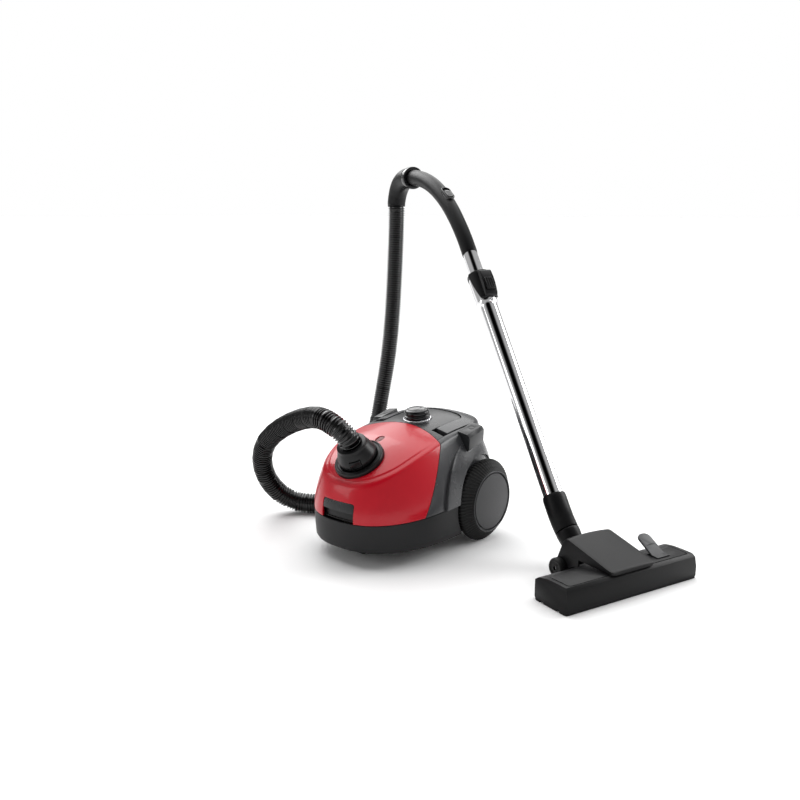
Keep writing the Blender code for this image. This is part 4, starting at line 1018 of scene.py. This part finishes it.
def tyre_mesh():
    """Tyre with fine slanted ribs over its conical flank."""
    sides = 720
    ribs = 72
    slant = 0.045 / 0.012
    profile = ((0.0600, 0.1120, 0.0), (0.0700, 0.1120, 0.0), (0.0730, 0.1140, 0.3), (0.0740, 0.1170, 1.0),
               (0.0740, 0.1210, 1.0), (0.0728, 0.1240, 1.0), (0.0680, 0.1280, 1.0), (0.0620, 0.1328, 1.0),
               (0.0575, 0.1362, 0.4), (0.0565, 0.1370, 0.0), (0.0552, 0.1370, 0.0), (0.0549, 0.1300, 0.0))
    rings = []
    for i, (radius, z, ribbed) in enumerate(profile):
        ring = []
        for k in range(sides):
            turn = math.tau * k / sides
            wave = math.cos(ribs * (turn + slant * (0.074 - radius)))
            r = radius - ribbed * 0.00080 * (1 - wave)
            ring.append(Vector((r * math.cos(turn), r * math.sin(turn), z - ribbed * 0.00070 * (1 - wave))))
        rings.append(ring)
    return ring_mesh(rings, closed_tube=True)


def make_caster():
    """Trailing caster under the front: yoke with its pin and hub, and the roller."""
    swivel = Matrix.Translation(CASTER)
    fork = box_mesh((-0.0115, -0.006, 0.0290), (0.0115, 0.0200, 0.0325), 0.001)
    for side in (-1, 1):
        low, high = sorted((side * 0.0092, side * 0.0115))
        fork = join(fork, box_mesh((low, 0.0045, 0.0080), (high, 0.0155, 0.0300), 0.0008))
    pin = turned(((0, 0.031), (0.0042, 0.031), (0.0042, 0.0440), (0, 0.0440)), 32)
    fork = join(fork, pin)
    hub = move(turned(((0, -0.0100), (0.0025, -0.0100), (0.0025, 0.0100), (0, 0.0100)), 32),
               along_x(Vector((0, CASTER_TRAIL, CASTER_RADIUS))))
    fork = join(fork, hub)
    add_piece("caster_yoke", fork, "black", CANISTER @ swivel, "caster_fork", ["caster_fork"],
              bevel=0.0005)
    roller = turned(((0.0030, -0.0085), (CASTER_RADIUS, -0.0085, 0.0020), (CASTER_RADIUS, 0.0085, 0.0020),
                     (0.0030, 0.0085)), 64)
    add_piece("caster_roller", move(roller, along_x(CASTER + Vector((0, CASTER_TRAIL, CASTER_RADIUS)))),
              "rubber", CANISTER, "caster_wheel", ["caster_wheel"])


# ---------------------------------------------------------------- floor head
HEAD_HALF = 0.140
HEAD_FRONT = -0.036
HEAD_BACK = 0.043
HEAD_TOP = 0.041
SOLE = 0.0044                # underside of the body, over the sole plate
ROLLER = Vector((0, 0.084, 0.0165))
ELBOW_SEAM = Vector((0.0, 0.123, 0.058))
ELBOW_RADIUS = 0.0205
BRUSH_ROWS = (-0.02775, 0.03525)
TUFTS = 58                   # in each brush row
COVER_HALF = 0.046
COVER_CROWN = 0.0025         # drop of the cover's top from its middle to its sides
RIBS = 18                    # short grooves in front of the cover


def plan_shape(low, high):
    """The head's plan with its four rounded corners, between two heights."""
    corners = ((-HEAD_HALF, HEAD_FRONT, 0.008), (HEAD_HALF, HEAD_FRONT, 0.008),
               (HEAD_HALF, HEAD_BACK, 0.034), (-HEAD_HALF, HEAD_BACK, 0.014))
    return prism(rounded(corners, 12), low, high)


def head_solid():
    """The head's outer form: side view, plan and end view cut out of one another."""
    section = ((HEAD_FRONT, SOLE), (HEAD_FRONT + 0.0035, 0.0360), (HEAD_FRONT + 0.0085, HEAD_TOP - 0.0002),
               (-0.010, HEAD_TOP), (0.012, HEAD_TOP - 0.0006), (0.032, HEAD_TOP - 0.0040),
               (HEAD_BACK - 0.001, 0.0300), (HEAD_BACK, SOLE))
    body = side_profile(section, -0.15, 0.15)
    ends = [(-HEAD_HALF, 0.0), (HEAD_HALF, 0.0), (HEAD_HALF - 0.004, 0.0355), (HEAD_HALF - 0.009, 0.05),
            (-HEAD_HALF + 0.009, 0.05), (-HEAD_HALF + 0.004, 0.0355)]
    ends = ring_mesh([[Vector((x, y, z)) for x, z in ends] for y in (-0.06, 0.06)])
    body = keep(body, plan_shape(0.0, 0.06))
    return keep(body, ends)


def groove(outline, width, depth_at):
    """Narrow closed channel following a rounded outline, cut down to a height."""
    outer = prism(rounded(outline, 8), depth_at, 0.06)
    middle = Vector((sum(p[0] for p in outline) / len(outline), sum(p[1] for p in outline) / len(outline)))
    shrunk = []
    for x, y, r in outline:
        shrunk.append((x - math.copysign(width, x - middle.x), y - math.copysign(width, y - middle.y),
                       max(r - width, 0.001)))
    return cut(outer, prism(rounded(shrunk, 8), 0.0, 0.07))


def make_head_body():
    """The head's shell: hollow below, with outline grooves, ribs and a pedal pocket on top."""
    body = head_solid()
    body = cut(body, box_mesh((-HEAD_HALF + 0.010, HEAD_FRONT + 0.009, -0.01),
                              (HEAD_HALF - 0.010, HEAD_BACK - 0.008, 0.0290)))
    left = ((-0.127, -0.0265, 0.008), (-0.020, -0.0265, 0.004), (-0.020, 0.030, 0.004),
            (-0.127, 0.030, 0.012))
    right = ((0.020, -0.0265, 0.004), (0.127, -0.0265, 0.008), (0.127, 0.028, 0.022), (0.020, 0.028, 0.004))
    for outline in (left, right):
        body = cut(body, groove(outline, 0.0016, HEAD_TOP - 0.0018))
    body = cut(body, box_mesh((0.0655, -0.0180, 0.02), (0.0945, 0.0065, 0.06)))
    body = slotted(body, RIBS, -0.030, 0.0040, 0.0009, (-0.0262, HEAD_TOP - 0.0028), (-0.0180, 0.06))
    body = cut(body, box_mesh((-0.020, 0.0, 0.02), (0.020, 0.034, 0.06)))
    add_piece("head_shell", body, "head", HEAD, "floor_head", ["head_body"], bevel=0.0009)


def make_sole():
    """Sole plate with its suction mouth and brush slots, and the two rows of tufts."""
    corners = ((-0.139, -0.035, 0.007), (0.139, -0.035, 0.007), (0.139, 0.042, 0.033),
               (-0.139, 0.042, 0.013))
    sole = prism(rounded(corners, 12), 0.0, 0.0040)
    sole = cut(sole, box_mesh((-0.112, -0.010, -0.01), (0.112, 0.012, 0.02)))
    for row in BRUSH_ROWS:
        sole = cut(sole, box_mesh((-0.121, row - 0.0029, -0.01), (0.121, row + 0.0029, 0.02)))
    for x in (-0.142, 0.128):
        for y in (-0.020, 0.016):
            sole = cut(sole, box_mesh((x, y, -0.01), (x + 0.014, y + 0.008, 0.0026)))
    add_piece("sole_plate", sole, "head", HEAD, "floor_head", ["head_sole"], bevel=0.0005)
    bm = bmesh.new()
    for row in BRUSH_ROWS:
        for i in range(TUFTS):
            x = -0.1185 + 0.237 * i / (TUFTS - 1)
            tuft = bmesh.ops.create_cone(bm, cap_ends=True, segments=8, radius1=0.0021, radius2=0.0014,
                                         depth=0.0150)
            turn = Matrix.Rotation(0.05 * math.sin(i * 2.3), 4, "Y")
            bmesh.ops.transform(bm, matrix=Matrix.Translation((x, row, 0.0084)) @ turn, verts=tuft["verts"])
    add_piece("brush_tufts", bm, "bristle", HEAD, "brushes", ["brush_front", "brush_rear"])


def make_cover():
    """Wedge-shaped cover over the elbow's joint, crowned across its top."""
    outer = ((-0.0330, 0.0414), (-0.0290, 0.0465, 0.002), (0.0690, 0.0700, 0.0038), (0.0760, 0.0690, 0.003),
             (0.0810, 0.0620, 0.005), (0.0945, 0.0260, 0.007), (0.0950, 0.0130, 0.005),
             (0.0880, 0.0075, 0.003), (0.0780, 0.0085, 0.005), (0.0620, 0.0240, 0.010), (0.0436, 0.0290),
             (0.0434, 0.0414))
    outline = rounded(outer, 6)
    stations = [COVER_HALF * (2 * i / 16 - 1) for i in range(17)]
    cover = ring_mesh([[Vector((x, p.x, p.y)) for p in outline] for x in stations])
    side = COVER_HALF - 0.0003
    plan = ((-side, -0.0327, 0.011), (side, -0.0327, 0.011), (side, 0.12), (-side, 0.12))
    cover = keep(cover, prism(rounded(plan, 8), -0.01, 0.09))
    inner = ((-0.0250, 0.0300), (-0.0250, 0.0430), (0.0670, 0.0640), (0.1300, 0.0640), (0.1300, -0.0100),
             (0.0500, -0.0100), (0.0500, 0.0300))
    cover = cut(cover, side_profile(inner, -0.0425, 0.0425))
    for vert in cover.verts:
        vert.co.z -= COVER_CROWN * (vert.co.x / COVER_HALF) ** 2 * smoothstep(HEAD_TOP, 0.060, vert.co.z)
    add_piece("cover_shell", cover, "cover", HEAD, "floor_head", ["head_cover"], bevel=0.0012)


def make_rollers():
    """Rear rollers of the floor head, each with a plain disc and two small pits."""
    for name, side in (("left", 1), ("right", -1)):
        inner, outer = side * 0.0466, side * 0.0590
        wheel = turned(((0.0034, inner), (0.0165, inner, 0.0010), (0.0165, side * 0.0560, 0.0015),
                        (0.0140, outer, 0.0008), (0.0118, outer, 0.0004), (0.0112, side * 0.0578),
                        (0.0062, side * 0.0578), (0.0056, side * 0.0586, 0.0004), (0.0034, side * 0.0586)),
                       96)
        for turn in (0.6, 0.6 + math.pi):
            pit = turned(((0, side * 0.055), (0.0012, side * 0.055), (0.0012, side * 0.060),
                          (0, side * 0.060)), 24)
            pit = move(pit, Matrix.Translation((0.0087 * math.cos(turn), 0.0087 * math.sin(turn), 0)))
            wheel = cut(wheel, pit)
        add_piece("roller_disc_" + name, move(wheel, along_x(ROLLER)), "rubber", HEAD, "roller_" + name,
                  ["roller_" + name], bevel=0.0003)


def make_head_pedal():
    """Tongue-shaped pedal with short ribs, rocking over the pocket."""
    pivot = Matrix.Translation((0.080, -0.0045, 0.0415))
    outline = ((-0.0130, 0.0005), (0.0130, 0.0005), (0.0130, 0.0440, 0.0125), (-0.0130, 0.0440, 0.0125))
    blade = prism(rounded(outline, 10), -0.0014, 0.0014)
    blade = slotted(blade, 9, -0.0080, 0.0020, 0.0005, (0.0190, 0.0009), (0.0215, 0.003))
    blade = move(blade, Matrix.Rotation(math.radians(31), 4, "X"))
    toe = move(box_mesh((-0.0130, -0.0120, -0.0015), (0.0130, 0.0030, 0.0015)),
               Matrix.Rotation(math.radians(4), 4, "X"))
    blade = join(blade, toe)
    add_piece("pedal_blade", blade, "pedal", HEAD @ pivot, "head_pedal", ["head_pedal"],
              bevel=0.0004)


def make_elbow():
    """Pipe from the roller axle up to the neck, with a cross barrel round the axle."""
    run = ELBOW_SEAM - ROLLER
    points = [ROLLER + run * t for t in (0.25, 0.45, 0.62, 0.78, 0.90, 0.96, 1.0)]
    points[-1] -= run.normalized() * 0.0004
    radii = (0.0152, 0.0172, 0.0190, 0.0200, ELBOW_RADIUS, ELBOW_RADIUS, ELBOW_RADIUS - 0.0006)
    tube = ring_mesh(tube_rings(points, radii, 96))
    barrel = turned(((0, -0.0400), (0.0146, -0.0400, 0.001), (0.0146, 0.0400, 0.001), (0, 0.0400)), 96)
    elbow = join(tube, move(barrel, along_x(ROLLER)))
    bore = ring_mesh(tube_rings([ROLLER + run * t for t in (0.45, 1.2)], (0.0160, 0.0160), 64))
    elbow = cut(elbow, bore)
    rod = turned(((0, -0.06), (0.0034, -0.06), (0.0034, 0.06), (0, 0.06)), 32)
    elbow = cut(elbow, move(rod, along_x(ROLLER)))
    add_piece("elbow_pipe", elbow, "head", HEAD, "elbow", ["elbow"], bevel=0.0006)


def make_neck():
    """Bent pipe from the elbow's seam to the wand, with the parking hook on its back."""
    start = (ELBOW_SEAM - ROLLER).normalized()
    swing = WAND_TURN - HEAD_TURN
    end = Vector((-math.sin(swing) * math.sin(WAND_LEAN), math.cos(swing) * math.sin(WAND_LEAN),
                  math.cos(WAND_LEAN)))
    joint = NECK_TOP - end * 0.029
    foot = ELBOW_SEAM + start * 0.0004
    above = ELBOW_SEAM + start * 0.005
    bend = (above + joint) / 2 + (start - end) * 0.003
    points = smooth_route([foot, above, bend, joint, NECK_TOP], 5)
    outer = [ELBOW_RADIUS] * len(points)
    outer[0] -= 0.0006
    outer[-1] -= 0.0008
    bore = [0.0179] * len(points)
    rings = tube_rings(points, outer, 96) + list(reversed(tube_rings(points, bore, 96)))
    add_piece("neck_pipe", ring_mesh(rings, closed_tube=True), "head", HEAD, "canister", ["neck"],
              bevel=0.0004)
    side = Vector((0, 0, 1)).cross(end).normalized() * -1
    back = end.cross(side)
    if back.z > 0:
        side, back = -side, -back
    rim = Matrix.Translation(NECK_TOP) @ Matrix((side, back, end)).transposed().to_4x4()
    hook = box_mesh((-0.0055, 0.0238, -0.0440), (0.0055, 0.0282, -0.0070), 0.0016)
    hook = join(hook, box_mesh((-0.0032, 0.0190, -0.0185), (0.0032, 0.0256, -0.0105), 0.0004))
    add_piece("parking_hook", move(hook, rim), "head", HEAD, "canister")


# ---------------------------------------------------------------- wand
LOWER = 0.0175               # radii of the two tubes and of the lower one's wide upper end
UPPER = 0.0140
FLARE = 0.0203
TUBE_WALL = 0.0010
FLARE_START = 0.388          # heights along the lower tube
LOWER_END = 0.452
GRIP_LINE = ((0.3300, 0.4982), (0.3550, 0.5275), (0.3830, 0.5550), (0.4180, 0.5840), (0.4570, 0.6090),
             (0.5020, 0.6300), (0.5500, 0.6440), (0.6000, 0.6510), (0.6280, 0.6515))
CUFF_LINE = ((0.6310, 0.6515), (0.6600, 0.6490), (0.6840, 0.6390), (0.7010, 0.6220), (0.7110, 0.6000),
             (0.7110, 0.5900))


def make_tubes():
    """Telescopic tubes with the collar and the lock's bright stud."""
    lower = turned(((LOWER, -0.028), (LOWER, FLARE_START, 0.004), (FLARE, FLARE_START + 0.006, 0.003),
                    (FLARE, LOWER_END, 0.0003), (FLARE - TUBE_WALL, LOWER_END),
                    (FLARE - TUBE_WALL, FLARE_START + 0.008), (LOWER - TUBE_WALL, FLARE_START + 0.002),
                    (LOWER - TUBE_WALL, -0.028)), 128)
    add_piece("chrome_lower_tube", lower, "chrome", TUBE, "canister", ["lower_tube"])
    upper = turned(((UPPER, 0.060), (UPPER, 0.530), (UPPER - TUBE_WALL, 0.530), (UPPER - TUBE_WALL, 0.060)),
                   128)
    add_piece("chrome_upper_tube", upper, "chrome", TUBE, "upper_wand", ["upper_tube"])
    stud = turned(((0, 0), (0.0048, 0), (0.0044, 0.0024, 0.0010), (0.0030, 0.0040, 0.0010), (0, 0.0044)),
                  32)
    place = Matrix.Translation((0, -0.0192, 0.3905)) @ Matrix.Rotation(math.pi / 2, 4, "X")
    add_piece("lock_stud", move(stud, place), "chrome", TUBE, "canister")
    collar = turned(((0.0211, LOWER_END + 0.0004), (0.0211, 0.4590, 0.0010), (0.0200, 0.4604, 0.0005),
                     (0.0145, 0.4604, 0.0005), (0.0145, 0.4150), (0.0189, 0.4150),
                     (0.0189, LOWER_END + 0.0004)), 96)
    add_piece("collar_ring", collar, "gloss", TUBE, "canister", ["tube_collar"])


def arc_plate(radius, thick, half_angle, low, high, taper=0.0):
    """Curved plate lying on the tube's front (local -Y), narrowing downward by a taper."""
    rings = []
    steps = 28
    for k in range(13):
        z = low + (high - low) * k / 12
        spread = half_angle * (1 - taper * (1 - k / 12) ** 1.6)
        ring = []
        for r, order in ((radius + thick, range(steps + 1)), (radius, reversed(range(steps + 1)))):
            for i in order:
                turn = -math.pi / 2 + spread * (2 * i / steps - 1)
                ring.append(Vector((r * math.cos(turn), r * math.sin(turn), z)))
        rings.append(ring)
    return ring_mesh(rings)


def make_lock():
    """Lock housing on the lower tube's wide end, with its push button."""
    saddle = arc_plate(FLARE + 0.0005, 0.0030, math.radians(78), 0.3990, 0.4590, taper=0.35)
    add_piece("lock_saddle", saddle, "black", TUBE, "canister", bevel=0.0008)
    profile = ((-0.0232, 0.3985), (-0.0270, 0.4000, 0.003), (-0.0316, 0.4180, 0.012),
               (-0.0322, 0.4400, 0.010), (-0.0300, 0.4530, 0.003), (-0.0232, 0.4560))
    case = side_profile(profile, -0.0125, 0.0125)
    case = cut(case, box_mesh((-0.0090, -0.0360, 0.4075), (0.0090, -0.0255, 0.4345)))
    case = slotted(case, 2, -0.0110, 0.0220, 0.0006, (-0.036, 0.402), (-0.0285, 0.450))
    add_piece("lock_housing", case, "black", TUBE, "canister", ["tube_lock_housing"], bevel=0.0009)
    button = box_mesh((-0.0085, -0.0334, 0.4080), (0.0085, -0.0285, 0.4340), 0.0010)
    button = slotted(button, 3, -0.0048, 0.0048, 0.0009, (-0.0345, 0.4100), (-0.0324, 0.4320), 0.0003)
    add_piece("lock_button", button, "black", TUBE, "tube_lock_button", ["tube_lock_button"],
              bevel=0.0003)


def wand_curve(line, per_span):
    """Smooth path through (distance, height) points in the wand's upright plane."""
    return smooth_route([Vector((0, s, z)) for s, z in line], per_span)


def make_grip():
    """Curved oval grip with the air slider on its upper side."""
    line = wand_curve(GRIP_LINE, 6)
    last = len(line) - 1
    radii = [0.0152 + 0.0014 * smoothstep(0.0, 0.7, i / last) for i in range(len(line))]
    radii[0] -= 0.0005

    def oval(i, radius):
        flat = 1 - 0.06 * math.sin(math.pi * i / last)
        return radius * flat, radius

    outer = tube_rings(line, radii, 72, flatten=oval)
    inner = tube_rings(line, [0.0144] * len(line), 72)
    grip = ring_mesh(outer + list(reversed(inner)), closed_tube=True)
    place = slider_frame()
    grip = cut(grip, move(pill(0.0046, 0.0046, 0.0, 0.03), place))
    add_piece("grip_pipe", grip, "head", WAND, "upper_wand", ["handle_grip"], bevel=0.0003)
    rim = cut(pill(0.0098, 0.0210, 0.0120, 0.0196), pill(0.0078, 0.0188, 0.0100, 0.03))
    add_piece("slider_frame", move(rim, place), "gloss", WAND, "upper_wand", bevel=0.0008)
    block = pill(0.0072, 0.0120, 0.0168, 0.0204)
    for i in range(3):
        y = -0.0050 + 0.0050 * i
        block = cut(block, box_mesh((-0.0050, y - 0.0008, 0.0196), (0.0050, y + 0.0008, 0.03), 0.0003))
    block = move(block, Matrix.Translation((0, -0.0045, 0)))
    add_piece("slider_block", move(block, place), "gloss", WAND, "air_slider", ["air_slider"],
              bevel=0.0005)


def slider_frame():
    """Place of the air slider on the grip's upper side, with Y along the grip."""
    across = Vector((1, 0, 0))
    ahead = Vector((0, 0.86, 0.51)).normalized()
    turn = Matrix((across, ahead, across.cross(ahead))).transposed().to_4x4()
    return Matrix.Translation((0, 0.4440, 0.6010)) @ turn


def make_cuff():
    """Hose cuff bending down from the grip, ribbed at its mouth, with a band at the seam."""
    line = wand_curve(CUFF_LINE, 8)
    last = len(line) - 1
    radii = []
    for i in range(last + 1):
        share = i / last
        ribbed = smoothstep(0.55, 0.62, share)
        radii.append(0.0226 - 0.0026 * share - ribbed * 0.0005 * (i % 2))
    rings = tube_rings(line, radii, 72) + list(reversed(tube_rings(line, [0.0175] * (last + 1), 72)))
    add_piece("cuff_pipe", ring_mesh(rings, closed_tube=True), "head", WAND, "upper_wand", ["hose_cuff"])
    ring = turned(((0.0240, 0.0, 0.0015), (0.0240, 0.0150, 0.0015), (0.0169, 0.0150, 0.0008),
                   (0.0169, 0.0, 0.0008)), 96)
    place = Matrix.Translation((0, 0.6120, 0.6512)) @ Matrix.Rotation(-math.pi / 2 + 0.01, 4, "X")
    add_piece("cuff_band", move(ring, place), "gloss", WAND, "upper_wand", ["cuff_ring"])


# ---------------------------------------------------------------- inside the canister
def make_dust_bag():
    """Paper bag: a soft oval box, puffed and creased, under the lid's arch."""
    rings = []
    levels = 16
    sides = 96
    for k in range(levels + 1):
        t = k / levels
        reach = 0.90 + 0.09 * math.sin(math.pi * t) - 0.10 * smoothstep(0.85, 1.0, t)
        ring = []
        for i in range(sides):
            turn = math.tau * i / sides
            x, y = 0.081 * reach * math.cos(turn), -0.160 + 0.055 * reach * math.sin(turn)
            low, high = 0.0505, top_height(x, y) - 0.0425
            p = Vector((x, y, low + (high - low) * t))
            crease = noise.noise(p * 55) * 0.0016 + abs(noise.noise(p * 28)) * -0.0022
            ring.append(p + Vector((math.cos(turn), math.sin(turn), 0)) * crease)
        rings.append(ring)
    add_piece("paper_bag", ring_mesh(rings), "paper", CANISTER, "canister", ["dust_bag"],
              smooth=70)


def dress_cad_nodes():
    """Procedural materials for the CAD nodes whose shapes stay as they are."""
    looks = {
        "bag_holder": "grey", "filter_wall": "tub", "motor_filter": "foam", "exhaust_filter": "foam",
        "motor_housing": "grey", "motor_shaft": "steel", "motor_fan": "grey", "cord_reel": "grey",
        "reel_axle": "steel", "control_board": "board", "lid_seal": "rubber", "cord_outlet_bush": "rubber",
        "axle_left": "steel", "axle_right": "steel", "roller_axle": "steel", "tube_glider": "grey",
    }
    for name, look in looks.items():
        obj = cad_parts[name]
        for i in range(len(obj.material_slots)):
            obj.material_slots[i].material = MATERIALS[look]


# ---------------------------------------------------------------- everything
make_camera()
hose_parts = make_hose()
make_world()
make_light()
make_floor()
hollow_space = hollow_mesh()
make_lid(hollow_space)
make_tub(hollow_space)
make_rear(hollow_space)
hollow_space.free()
make_fenders()
make_panel()
make_latch()
make_pedals()
make_knob()
make_inlet()
make_wheels()
make_caster()
make_head_body()
make_sole()
make_cover()
make_rollers()
make_head_pedal()
make_elbow()
make_neck()
make_tubes()
make_lock()
make_grip()
make_cuff()
make_dust_bag()
dress_cad_nodes()
bend_hose(*hose_parts)
